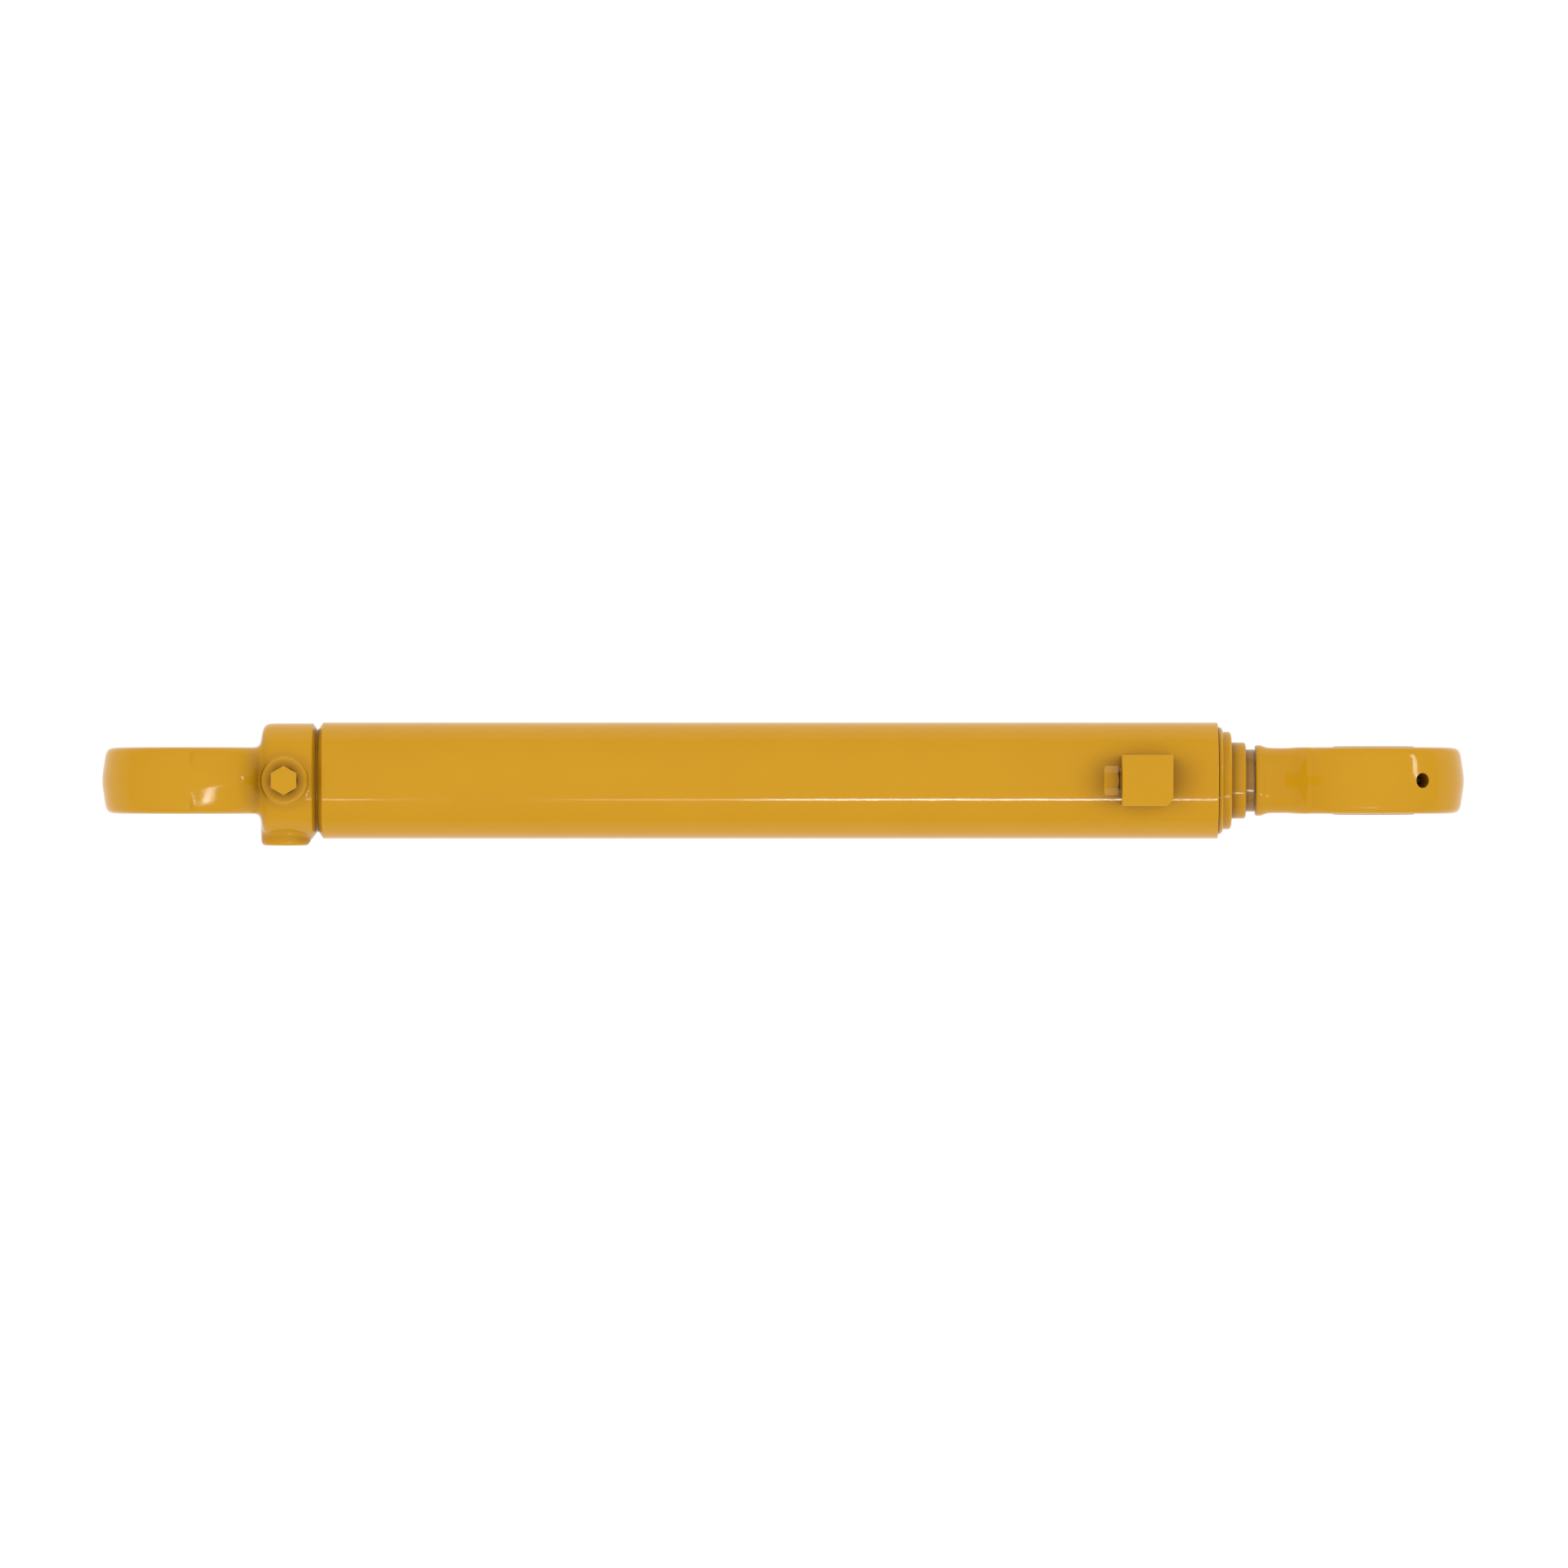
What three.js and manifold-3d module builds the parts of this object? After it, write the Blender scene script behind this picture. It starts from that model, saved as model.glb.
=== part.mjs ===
// Hydraulic cylinder, double acting, closed. Millimetres, +Z up.
// The rod leaves the barrel along +X, both pins lie along Y, and the port boss and port block face up.
// Everything is first placed from the centre of the base pin, on the cylinder's own axis. One group then
// moves it so that the origin is under the middle of the object, on the surface that the eyes stand on.

import * as THREE from 'three';
import { mergeVertices } from 'three/addons/utils/BufferGeometryUtils.js';
import Module from 'manifold-3d';

const wasm = await Module();
wasm.setup();

// Driving dimensions
const boreRadius = 40;
const tubeRadius = 46.6;
const rodRadius = 25;
const pinRadius = 25;
const pinToPin = 945.6;
const gap = 0.3;

const eye = {
  radius: 72.5,
  halfWidth: 26.65,
  landHalfWidth: 3.25,
  draft: 0.143,
  webDraft: 0.328,
  cornerRadius: 6,
  bushRadius: 29,
  sealRadius: 30.5,
  sealDepth: 6,
};

const cap = {
  buriedX: 44,
  faceX: 54.3,
  faceRadius: 30.2,
  cornerX: 61.9,
  cornerRadius: 5.9,
  radius: 45.9,
  grooveX: 96.5,
  rootX: 99.7,
  spigotEndX: 116,
  nutPocketX: 101.5,
  nutPocketRadius: 27,
  webFillet: 4.2,
};

const groove = { rootRadius: 41.6, width: 1.4, tubeEdge: 3.55 };
const spigotRadius = boreRadius - 0.4;

const boss = {
  x: 75,
  topRadius: 18.3,
  height: 52.2,
  buriedZ: 20,
  edge: 1.2,
  wallFoot: 7.5,
  flareFoot: 11,
};
const sideBoss = { x: 74.75, radius: 19.9, cornerRadius: 3.2, buriedY: 20 };

const port = { threadRadius: 9.3, mouthRadius: 10.6, mouthDepth: 1.6, depth: 20, oilWayRadius: 5 };
const plug = {
  shankRadius: 9,
  neckRadius: 8,
  neckHeight: 2.2,
  hexRadius: 11.75,
  hexHeight: 11.7,
  length: 16,
};

const block = { x: 762.6, width: 40.6, top: 95.5, buriedZ: 30, portZ: 70, cutCorner: 5 };

const tube = { start: cap.rootX + groove.width, end: 820.6, edgeBreak: 0.4 };

const gland = {
  noseX: 750,
  noseRadius: 33,
  bodyX: 772,
  bodyRadius: 39.6,
  shoulderX: 824.9,
  shoulderRadius: 39.2,
  hubX: 831.4,
  hubRadius: 30.6,
  endX: 843,
};

const piston = { start: 117, end: 163, radius: 39.5, spigotRadius: 18 };
const nut = { start: 104, end: 116.7, hexRadius: 23.6, threadRadius: 16 };

const rodEye = {
  neckX: 850.2,
  collarRadius: 28.4,
  waistX: 874.6,
  waistRadius: 26,
  flareStart: 100.8,
  flareRadius: 60,
  flareEnd: 54,
  waistCurve: 0.0015,
  taperEnd: 86.9,
  squaring: 19.6,
  hubRadius: 32.7,
  hubRise: 0.65,
  greaseAngle: THREE.MathUtils.degToRad(30.5),
  greasePocketRadius: 6,
  greasePocketDepth: 16.5,
  greaseWayRadius: 1.5,
  fittingHoleRadius: 3.3,
  fittingHoleDepth: 12,
  buried: 37.5,
};

// Facets around a full turn
const roundSides = 44;
const innerSides = 28;
const smallSides = 16;

const finishes = {
  paint: { color: 0xd69d2d, roughness: 0.35, metalness: 0.0 },
  chrome: { color: 0xc8ccd0, roughness: 0.12, metalness: 1.0 },
  steel: { color: 0x8d8f92, roughness: 0.4, metalness: 1.0 },
  bronze: { color: 0xa9803f, roughness: 0.4, metalness: 1.0 },
  rubber: { color: 0x17181a, roughness: 0.75, metalness: 0.0 },
  polyurethane: { color: 0x24406e, roughness: 0.5, metalness: 0.0 },
  phenolic: { color: 0x6b4a2c, roughness: 0.7, metalness: 0.0 },
  ptfe: { color: 0x4b4f50, roughness: 0.5, metalness: 0.0 },
};

const assembly = new THREE.Group();

// Joins a three.js geometry's corners and returns it as a solid with its faces out.
function solidOf(geometry) {
  geometry.deleteAttribute('normal');
  geometry.deleteAttribute('uv');
  const merged = mergeVertices(geometry, 1e-4);
  const places = merged.getAttribute('position');
  const corners = merged.getIndex().array;
  const triangles = [];
  const a = new THREE.Vector3();
  const b = new THREE.Vector3();
  const c = new THREE.Vector3();
  let volume = 0;
  for (let i = 0; i < corners.length; i += 3) {
    const [p, q, r] = [corners[i], corners[i + 1], corners[i + 2]];
    if (p === q || q === r || r === p) continue;
    triangles.push([p, q, r]);
    a.fromBufferAttribute(places, p);
    b.fromBufferAttribute(places, q);
    c.fromBufferAttribute(places, r);
    volume += a.dot(b.cross(c));
  }
  const facing = volume < 0 ? triangles.map(([p, q, r]) => [p, r, q]) : triangles;
  return new wasm.Manifold(new wasm.Mesh({
    numProp: 3,
    vertProperties: new Float32Array(places.array),
    triVerts: new Uint32Array(facing.flat()),
  }));
}

// Turns a profile of [distance along the axis, radius] points round the X, Y or Z axis.
function turned(profile, axis, sides) {
  const closed = profile[0][1] > 0 ? [...profile, profile[0]] : profile;
  const points = closed.map(([along, radius]) => new THREE.Vector2(radius, along));
  const geometry = new THREE.LatheGeometry(points, sides);
  if (axis === 'x') geometry.rotateZ(-Math.PI / 2);
  if (axis === 'z') geometry.rotateX(Math.PI / 2);
  return solidOf(geometry);
}

// A plain round bar from one distance to another along an axis.
function bar(from, to, radius, axis, sides) {
  return turned([[from, 0], [from, radius], [to, radius], [to, 0]], axis, sides);
}

// A ring of rectangular section.
function ring(from, to, inner, outer, axis, sides) {
  return turned([[from, inner], [from, outer], [to, outer], [to, inner]], axis, sides);
}

// An O-ring or another ring of round section.
function roundRing(middle, radius, sectionRadius, axis, sides) {
  const sectionSides = 6;
  const profile = [];
  for (let i = 0; i < sectionSides; i += 1) {
    const angle = (i / sectionSides) * 2 * Math.PI;
    profile.push([middle + sectionRadius * Math.cos(angle), radius + sectionRadius * Math.sin(angle)]);
  }
  return turned(profile, axis, sides);
}

// Points of an arc in a profile; angles in degrees from the axis direction towards larger radius.
function arc(along, radius, arcRadius, from, to, steps) {
  const points = [];
  for (let i = 0; i <= steps; i += 1) {
    const angle = THREE.MathUtils.degToRad(from + ((to - from) * i) / steps);
    points.push([along + arcRadius * Math.cos(angle), radius + arcRadius * Math.sin(angle)]);
  }
  return points;
}

// Corners of a rounded oblong section square to X.
function oblong(x, halfWide, halfHigh, cornerRadius) {
  const cornerSteps = 6;
  const points = [];
  for (const [quarter, signY, signZ] of [[0, 1, 1], [1, -1, 1], [2, -1, -1], [3, 1, -1]]) {
    for (let i = 0; i <= cornerSteps; i += 1) {
      const angle = ((quarter + i / cornerSteps) * Math.PI) / 2;
      points.push([
        x,
        signY * (halfWide - cornerRadius) + cornerRadius * Math.cos(angle),
        signZ * (halfHigh - cornerRadius) + cornerRadius * Math.sin(angle),
      ]);
    }
  }
  return points;
}

// Solid through a row of sections with the same number of corners.
function lofted(sections) {
  const sides = sections[0].length;
  const last = (sections.length - 1) * sides;
  const index = [];
  for (let start = 0; start < last; start += sides) {
    for (let k = 0; k < sides; k += 1) {
      const a = start + k;
      const b = start + ((k + 1) % sides);
      index.push(a, b, b + sides, a, b + sides, a + sides);
    }
  }
  for (let k = 1; k < sides - 1; k += 1) {
    index.push(0, k + 1, k, last, last + k, last + k + 1);
  }
  const geometry = new THREE.BufferGeometry();
  geometry.setAttribute('position', new THREE.Float32BufferAttribute(sections.flat(2), 3));
  geometry.setIndex(index);
  return solidOf(geometry);
}

// Adds one named piece to the assembly.
function addPiece(name, solid, finish) {
  const mesh = solid.getMesh();
  const geometry = new THREE.BufferGeometry();
  geometry.setAttribute('position', new THREE.BufferAttribute(new Float32Array(mesh.vertProperties), 3));
  geometry.setIndex(new THREE.BufferAttribute(new Uint32Array(mesh.triVerts), 1));
  geometry.computeVertexNormals();
  const piece = new THREE.Mesh(geometry, new THREE.MeshStandardMaterial(finishes[finish]));
  piece.name = name;
  assembly.add(piece);
}

// Round eye with a drafted rim, rounded edges, a bore for the bush and a pocket for each dust seal.
// hubRadius and hubRise add the raised machined face where they are given.
function eyeRing(draft, hubRadius = 0, hubRise = 0) {
  const { radius, halfWidth, landHalfWidth, cornerRadius } = eye;
  const slant = Math.hypot(1, draft);
  const cornerAlong = halfWidth - cornerRadius;
  const cornerOut = radius + draft * (landHalfWidth - cornerAlong) - cornerRadius * slant;
  const rimAngle = THREE.MathUtils.radToDeg(Math.atan2(1, draft));
  const faceY = halfWidth + hubRise;
  const pocketY = halfWidth - eye.sealDepth;
  const pocketRadius = eye.sealRadius + gap;
  const half = [
    [pocketY, eye.bushRadius + gap],
    [pocketY, pocketRadius],
    [faceY, pocketRadius],
  ];
  if (hubRise > 0) half.push([faceY, hubRadius], [halfWidth, hubRadius + hubRise]);
  half.push(...arc(cornerAlong, cornerOut, cornerRadius, 0, rimAngle, 3), [landHalfWidth, radius]);
  const mirrored = half.map(([along, out]) => [-along, out]).reverse();
  return turned([...half, ...mirrored], 'y', roundSides);
}

function addEyeFittings(prefix, x) {
  const bushHalf = eye.halfWidth - eye.sealDepth - gap;
  const greaseHalf = 2.5;
  const bush = turned([
    [-bushHalf, pinRadius],
    [-bushHalf, eye.bushRadius],
    [-greaseHalf, eye.bushRadius],
    [-greaseHalf, eye.bushRadius - 1.2],
    [greaseHalf, eye.bushRadius - 1.2],
    [greaseHalf, eye.bushRadius],
    [bushHalf, eye.bushRadius],
    [bushHalf, pinRadius],
  ], 'y', roundSides);
  addPiece(`${prefix}_bushing`, bush.translate([x, 0, 0]), 'bronze');
  for (const [side, sign] of [['left', 1], ['right', -1]]) {
    const inner = eye.halfWidth - eye.sealDepth + gap;
    const outer = eye.halfWidth - 0.5;
    const seal = turned([
      [sign * inner, pinRadius + 1.6],
      [sign * inner, eye.sealRadius],
      [sign * outer, eye.sealRadius],
      [sign * outer, pinRadius + 0.1],
    ], 'y', innerSides);
    addPiece(`${prefix}_seal_${side}`, seal.translate([x, 0, 0]), 'polyurethane');
  }
}

// The tapped port's empty space, along +Z from a mouth at height top.
function portSpace(top) {
  const bottom = top - port.depth;
  return turned([
    [bottom, 0],
    [bottom, port.threadRadius],
    [top - port.mouthDepth, port.threadRadius],
    [top, port.mouthRadius],
    [top + 5, port.mouthRadius],
    [top + 5, 0],
  ], 'z', innerSides);
}

// Hexagonal head with a turned chamfer, a thread relief and the threaded shank, standing on height top.
function portPlug(top) {
  const headBottom = top + plug.neckHeight;
  const headTop = headBottom + plug.hexHeight;
  const chamfer = 0.6;
  const flat = plug.hexRadius * Math.cos(Math.PI / 6);
  const hexagon = bar(headBottom, headTop, plug.hexRadius, 'z', 6);
  const envelope = turned([
    [headBottom - 1, 0],
    [headBottom - 1, plug.hexRadius + 1],
    [headTop - chamfer, plug.hexRadius + 0.4],
    [headTop, flat - 0.2],
    [headTop, 0],
  ], 'z', innerSides);
  const shank = turned([
    [top - plug.length, 0],
    [top - plug.length, plug.shankRadius - 1],
    [top - plug.length + 1, plug.shankRadius],
    [top - 2.4, plug.shankRadius],
    [top - 2.4, plug.neckRadius],
    [headBottom + 1, plug.neckRadius],
    [headBottom + 1, 0],
  ], 'z', innerSides);
  return hexagon.intersect(envelope).add(shank);
}

function portSeal(top) {
  const sectionRadius = 0.85;
  return roundRing(top + 0.5, plug.neckRadius + gap + sectionRadius + 0.1, sectionRadius, 'z', innerSides);
}

// Concave blend between the eye's flat side and the cap's face, on one side of the eye.
function webFillet(sign) {
  const { faceX, webFillet: radius } = cap;
  const startX = faceX - radius + gap;
  const shape = new THREE.Shape();
  shape.moveTo(startX, eye.halfWidth - 1);
  for (const [x, y] of arc(startX, eye.halfWidth + radius, radius, -90, 0, 3)) shape.lineTo(x, y);
  shape.lineTo(startX + radius + 3, eye.halfWidth + radius);
  shape.lineTo(startX + radius + 3, eye.halfWidth - 1);
  const depth = 70;
  const geometry = new THREE.ExtrudeGeometry(shape, { depth, bevelEnabled: false });
  geometry.translate(0, 0, -depth / 2);
  const wedge = solidOf(geometry);
  return sign > 0 ? wedge : wedge.mirror([0, 1, 0]);
}

function addBaseEnd() {
  const body = turned([
    [cap.buriedX, 0],
    [cap.buriedX, 24],
    [cap.faceX - 1, 26],
    [cap.faceX, cap.faceRadius],
    ...arc(cap.cornerX, cap.radius - cap.cornerRadius, cap.cornerRadius, 170, 90, 3),
    [cap.grooveX, cap.radius],
    [cap.rootX, groove.rootRadius],
    [cap.rootX, spigotRadius],
    [cap.spigotEndX - 1.5, spigotRadius],
    [cap.spigotEndX, spigotRadius - 1],
    [cap.spigotEndX, cap.nutPocketRadius],
    [cap.nutPocketX, cap.nutPocketRadius],
    [cap.nutPocketX, 0],
  ], 'x', roundSides);
  const capRound = bar(cap.buriedX, cap.cornerX, cap.radius - 4.5, 'x', roundSides);
  const fillets = webFillet(1).add(webFillet(-1)).intersect(capRound);
  const portBoss = turned([
    [boss.buriedZ, 0],
    [boss.buriedZ, boss.topRadius + 2],
    [boss.height - boss.flareFoot, boss.topRadius + 2],
    [boss.height - boss.wallFoot, boss.topRadius + 0.9],
    [boss.height - boss.edge, boss.topRadius + 0.5],
    [boss.height, boss.topRadius - 0.6],
    [boss.height, 0],
  ], 'z', innerSides).translate([boss.x, 0, 0]);
  const blankBoss = turned([
    [-sideBoss.buriedY, 0],
    [-sideBoss.buriedY, sideBoss.radius],
    ...arc(
      sideBoss.cornerRadius - boss.height,
      sideBoss.radius - sideBoss.cornerRadius,
      sideBoss.cornerRadius,
      90,
      180,
      2,
    ),
    [-boss.height, 0],
  ], 'y', innerSides).translate([sideBoss.x, 0, 0]);
  // The half of the eye that runs into the cap is drafted more steeply, which leaves a small step.
  const reach = 2 * eye.radius;
  const capSide = solidOf(new THREE.BoxGeometry(reach, reach + 2, reach + 2)).translate([reach / 2, 0, 0]);
  const outerHalf = eyeRing(eye.draft).subtract(capSide);
  const wayRadius = port.oilWayRadius;
  const oilWayDown = bar(-wayRadius, boss.height - port.depth + 1, wayRadius, 'z', smallSides);
  const oilWayIn = bar(boss.x - wayRadius, cap.nutPocketX + 1, wayRadius, 'x', smallSides);
  const baseEnd = eyeRing(eye.webDraft)
    .add(outerHalf)
    .add(body)
    .add(fillets)
    .add(portBoss)
    .add(blankBoss)
    .subtract(portSpace(boss.height).translate([boss.x, 0, 0]))
    .subtract(oilWayDown.translate([boss.x, 0, 0]))
    .subtract(oilWayIn);
  addPiece('base_end', baseEnd, 'paint');
  addPiece('base_port_plug', portPlug(boss.height).translate([boss.x, 0, 0]), 'paint');
  addPiece('base_port_o_ring', portSeal(boss.height).translate([boss.x, 0, 0]), 'rubber');
  addEyeFittings('base_eye', 0);
}

function addTube() {
  const wall = turned([
    [tube.start, boreRadius],
    [tube.start, groove.rootRadius],
    [tube.start + groove.tubeEdge, tubeRadius],
    [tube.end - tube.edgeBreak, tubeRadius],
    [tube.end, tubeRadius - tube.edgeBreak],
    [tube.end, boreRadius],
  ], 'x', roundSides);
  const crossHole = bar(boreRadius - 5, tubeRadius + 5, port.oilWayRadius, 'z', smallSides);
  addPiece('barrel_tube', wall.subtract(crossHole.translate([block.x, 0, 0])), 'paint');
  const weldInner = boreRadius + 0.2;
  const weldOuter = groove.rootRadius - 0.1;
  const weld = ring(cap.rootX + gap, tube.start - gap, weldInner, weldOuter, 'x', roundSides);
  addPiece('base_weld', weld, 'paint');
}

function addPortBlock() {
  const height = block.top - block.buriedZ;
  const raw = new THREE.BoxGeometry(block.width, block.width, height);
  raw.translate(block.x, 0, block.top - height / 2);
  const saddle = bar(block.x - block.width, block.x + block.width, tubeRadius + gap, 'x', roundSides);
  const wayRadius = port.oilWayRadius;
  const oilWayDown = bar(block.buriedZ, block.portZ + wayRadius, wayRadius, 'z', smallSides);
  // The port is drawn along +Z, then laid over so that its mouth faces the base end.
  const faceX = block.x - block.width / 2;
  const layOver = (solid) => solid.rotate([0, -90, 0]).translate([faceX, 0, block.portZ]);
  const oilWayIn = bar(-block.width / 2 - wayRadius, -port.depth + 1, wayRadius, 'z', smallSides);
  const cutSide = block.cutCorner * Math.SQRT2;
  const cutCorner = solidOf(new THREE.BoxGeometry(cutSide, cutSide, 4 * height))
    .rotate([0, 0, 45])
    .translate([block.x + block.width / 2, -block.width / 2, block.top]);
  const body = solidOf(raw)
    .subtract(saddle)
    .subtract(cutCorner)
    .subtract(oilWayDown.translate([block.x, 0, 0]))
    .subtract(layOver(portSpace(0)))
    .subtract(layOver(oilWayIn));
  addPiece('rod_port_block', body, 'paint');
  addPiece('rod_port_plug', layOver(portPlug(0)), 'paint');
  addPiece('rod_port_o_ring', layOver(portSeal(0)), 'rubber');
}

// Grooves of the gland: [start, end, groove radius]

const glandGrooves = {
  guideInner: [756, 768, 28],
  buffer: [776, 782.5, 30],
  rodSeal: [789, 798, 30.5],
  guideOuter: [804, 816, 28],
};
const wiperGroove = [835, gland.endX, 28.8];
const glandSealGroove = [779, 787, 35.4];

function addGland() {
  const rodBore = rodRadius + gap;
  const grooves = Object.values(glandGrooves).reverse();
  const inside = grooves.flatMap(([start, end, radius]) => [
    [end, rodBore],
    [end, radius],
    [start, radius],
    [start, rodBore],
  ]);
  const body = turned([
    [gland.noseX, rodBore],
    [gland.noseX, gland.noseRadius],
    [gland.bodyX, gland.noseRadius],
    [gland.bodyX, gland.bodyRadius],
    [glandSealGroove[0], gland.bodyRadius],
    [glandSealGroove[0], glandSealGroove[2]],
    [glandSealGroove[1], glandSealGroove[2]],
    [glandSealGroove[1], gland.bodyRadius],
    [gland.shoulderX, gland.bodyRadius],
    [gland.shoulderX + 0.4, gland.shoulderRadius],
    [gland.hubX - 1.5, gland.shoulderRadius],
    [gland.hubX, gland.shoulderRadius - 1.5],
    [gland.hubX, gland.hubRadius],
    [gland.endX - 1.2, gland.hubRadius],
    [gland.endX, gland.hubRadius - 1.2],
    [gland.endX, wiperGroove[2]],
    [wiperGroove[0], wiperGroove[2]],
    [wiperGroove[0], rodBore],
    ...inside,
  ], 'x', roundSides);
  addPiece('gland', body, 'paint');
  const lockStart = tube.end + gap;
  const lockInner = gland.bodyRadius + gap;
  const lockRing = turned([
    [lockStart, lockInner],
    [lockStart, lockInner + 3.1],
    ...arc(lockStart + 0.9, lockInner + 0.1, 3, 90, 0, 3),
    [lockStart + 3.9, lockInner],
  ], 'x', roundSides);
  addPiece('gland_lock_ring', lockRing, 'paint');
}

function addGlandSeals() {
  const rodBore = rodRadius + gap;
  const inset = ([start, end, radius]) => [start + gap, end - gap, radius - gap];
  for (const [name, groovePlace] of [
    ['rod_guide_ring_inner', glandGrooves.guideInner],
    ['rod_guide_ring_outer', glandGrooves.guideOuter],
  ]) {
    const [start, end, outer] = inset(groovePlace);
    addPiece(name, ring(start, end, rodBore, outer, 'x', innerSides), 'phenolic');
  }
  const [bufferStart, bufferEnd, bufferOuter] = inset(glandGrooves.buffer);
  addPiece('rod_buffer_seal', turned([
    [bufferStart, rodBore],
    [bufferStart, bufferOuter],
    [bufferEnd, bufferOuter],
    [bufferEnd, rodBore + 1.4],
    [bufferStart + 2.6, rodBore],
  ], 'x', innerSides), 'polyurethane');
  const [cupStart, cupEnd, cupOuter] = inset(glandGrooves.rodSeal);
  const cupMiddle = (rodBore + cupOuter) / 2;
  addPiece('rod_seal', turned([
    [cupStart, rodBore],
    [cupStart + 3.6, cupMiddle],
    [cupStart, cupOuter],
    [cupEnd, cupOuter],
    [cupEnd, rodBore],
  ], 'x', innerSides), 'polyurethane');
  const wiperStart = wiperGroove[0] + gap;
  const wiperOuter = wiperGroove[2] - gap;
  addPiece('rod_wiper', turned([
    [wiperStart, rodBore + 0.6],
    [wiperStart, wiperOuter],
    [gland.endX - 1, wiperOuter],
    [gland.endX - 0.4, rodBore + 1.2],
    [gland.endX - 0.4, rodBore],
    [gland.endX - 3.4, rodBore + 0.6],
  ], 'x', innerSides), 'polyurethane');
  const [sealStart, sealEnd, sealFloor] = glandSealGroove;
  const backupWidth = 2.4;
  const sectionRadius = (gland.bodyRadius - sealFloor - gap) / 2;
  const sealMiddle = sealStart + gap + sectionRadius;
  const sealCentre = sealFloor + gap + sectionRadius;
  addPiece('gland_o_ring', roundRing(sealMiddle, sealCentre, sectionRadius, 'x', innerSides), 'rubber');
  const backup = ring(
    sealEnd - gap - backupWidth,
    sealEnd - gap,
    sealFloor + gap,
    gland.bodyRadius,
    'x',
    innerSides,
  );
  addPiece('gland_backup_ring', backup, 'ptfe');
}

// Grooves of the piston, written the same way

const pistonGrooves = { wearBase: [121, 129, 37.2], seal: [134, 146, 33], wearRod: [151, 159, 37.2] };
const pistonInnerGroove = [138, 142, 20.6];

function addPiston() {
  const grooves = Object.values(pistonGrooves).flatMap(([start, end, radius]) => [
    [start, piston.radius],
    [start, radius],
    [end, radius],
    [end, piston.radius],
  ]);
  const bore = piston.spigotRadius + gap;
  const [innerStart, innerEnd, innerRadius] = pistonInnerGroove;
  addPiece('piston', turned([
    [piston.start, bore],
    [piston.start, piston.radius - 1],
    [piston.start + 1, piston.radius],
    ...grooves,
    [piston.end - 1, piston.radius],
    [piston.end, piston.radius - 1],
    [piston.end, bore],
    [innerEnd, bore],
    [innerEnd, innerRadius],
    [innerStart, innerRadius],
    [innerStart, bore],
  ], 'x', innerSides), 'steel');
  const innerSection = (innerRadius - bore - gap) / 2;
  const innerMiddle = (innerStart + innerEnd) / 2;
  const innerCentre = bore + innerSection;
  addPiece('piston_o_ring', roundRing(innerMiddle, innerCentre, innerSection, 'x', innerSides), 'rubber');
  const screwRadius = 2;
  const hexagon = bar(nut.start, nut.end, nut.hexRadius, 'x', 6);
  const thread = bar(nut.start - 1, nut.end + 1, nut.threadRadius + gap, 'x', innerSides);
  const screwX = (nut.start + nut.end) / 2;
  const screwHole = bar(0, nut.hexRadius, screwRadius + gap, 'y', smallSides).translate([screwX, 0, 0]);
  addPiece('piston_nut', hexagon.subtract(thread).subtract(screwHole), 'steel');
  const flat = nut.hexRadius * Math.cos(Math.PI / 6);
  const screw = bar(nut.threadRadius + 2 * gap, flat - 0.5, screwRadius, 'y', smallSides);
  addPiece('piston_set_screw', screw.translate([screwX, 0, 0]), 'steel');
}

function addPistonRings() {
  const running = boreRadius - gap;
  for (const [name, [start, end, radius]] of [
    ['piston_wear_ring_base', pistonGrooves.wearBase],
    ['piston_wear_ring_rod', pistonGrooves.wearRod],
  ]) {
    addPiece(name, ring(start + gap, end - gap, radius + gap, running, 'x', innerSides), 'phenolic');
  }
  const [start, end, floor] = pistonGrooves.seal;
  const split = floor + 3.8;
  addPiece('piston_seal', ring(start + gap, end - gap, split + gap, running, 'x', innerSides), 'ptfe');
  const energiser = turned([
    [start + 1.5, floor + gap],
    [start + 0.6, floor + 1.9],
    [start + 1.5, split],
    [end - 1.5, split],
    [end - 0.6, floor + 1.9],
    [end - 1.5, floor + gap],
  ], 'x', innerSides);
  addPiece('piston_seal_energiser', energiser, 'rubber');
}

function addRod() {
  const shoulder = piston.end + gap;
  const rodEnd = rodEye.neckX - gap;
  addPiece('piston_rod', turned([
    [nut.start - 1, 0],
    [nut.start - 1, nut.threadRadius - 1.5],
    [nut.start + 0.5, nut.threadRadius],
    [nut.end + gap, nut.threadRadius],
    [nut.end + gap + 1, piston.spigotRadius],
    [shoulder, piston.spigotRadius],
    [shoulder, rodRadius - 2],
    [shoulder + 4, rodRadius],
    [rodEnd, rodRadius],
    [rodEnd, 0],
  ], 'x', roundSides), 'chrome');
}

// Neck between the collar and the eye: its section goes from nearly round to a tall rounded oblong whose
// top and bottom flare out to the eye's rim. Distances are measured from the pin's centre.
function flaredNeck() {
  const { flareStart, flareRadius, flareEnd, waistRadius, waistCurve, taperEnd, squaring } = rodEye;
  const waist = pinToPin - rodEye.waistX;
  const steps = 6;
  const sections = [];
  for (let i = 0; i <= steps; i += 1) {
    const distance = taperEnd + ((flareEnd - taperEnd) * i) / steps;
    const run = flareStart - distance;
    const halfWide = waistRadius + waistCurve * (distance - waist) ** 2;
    const halfHigh = halfWide + flareRadius - Math.sqrt(flareRadius ** 2 - run ** 2);
    const corner = halfWide - squaring * (run / (flareStart - flareEnd));
    sections.push(oblong(pinToPin - distance, halfWide, halfHigh, corner));
  }
  return lofted(sections);
}

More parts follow.
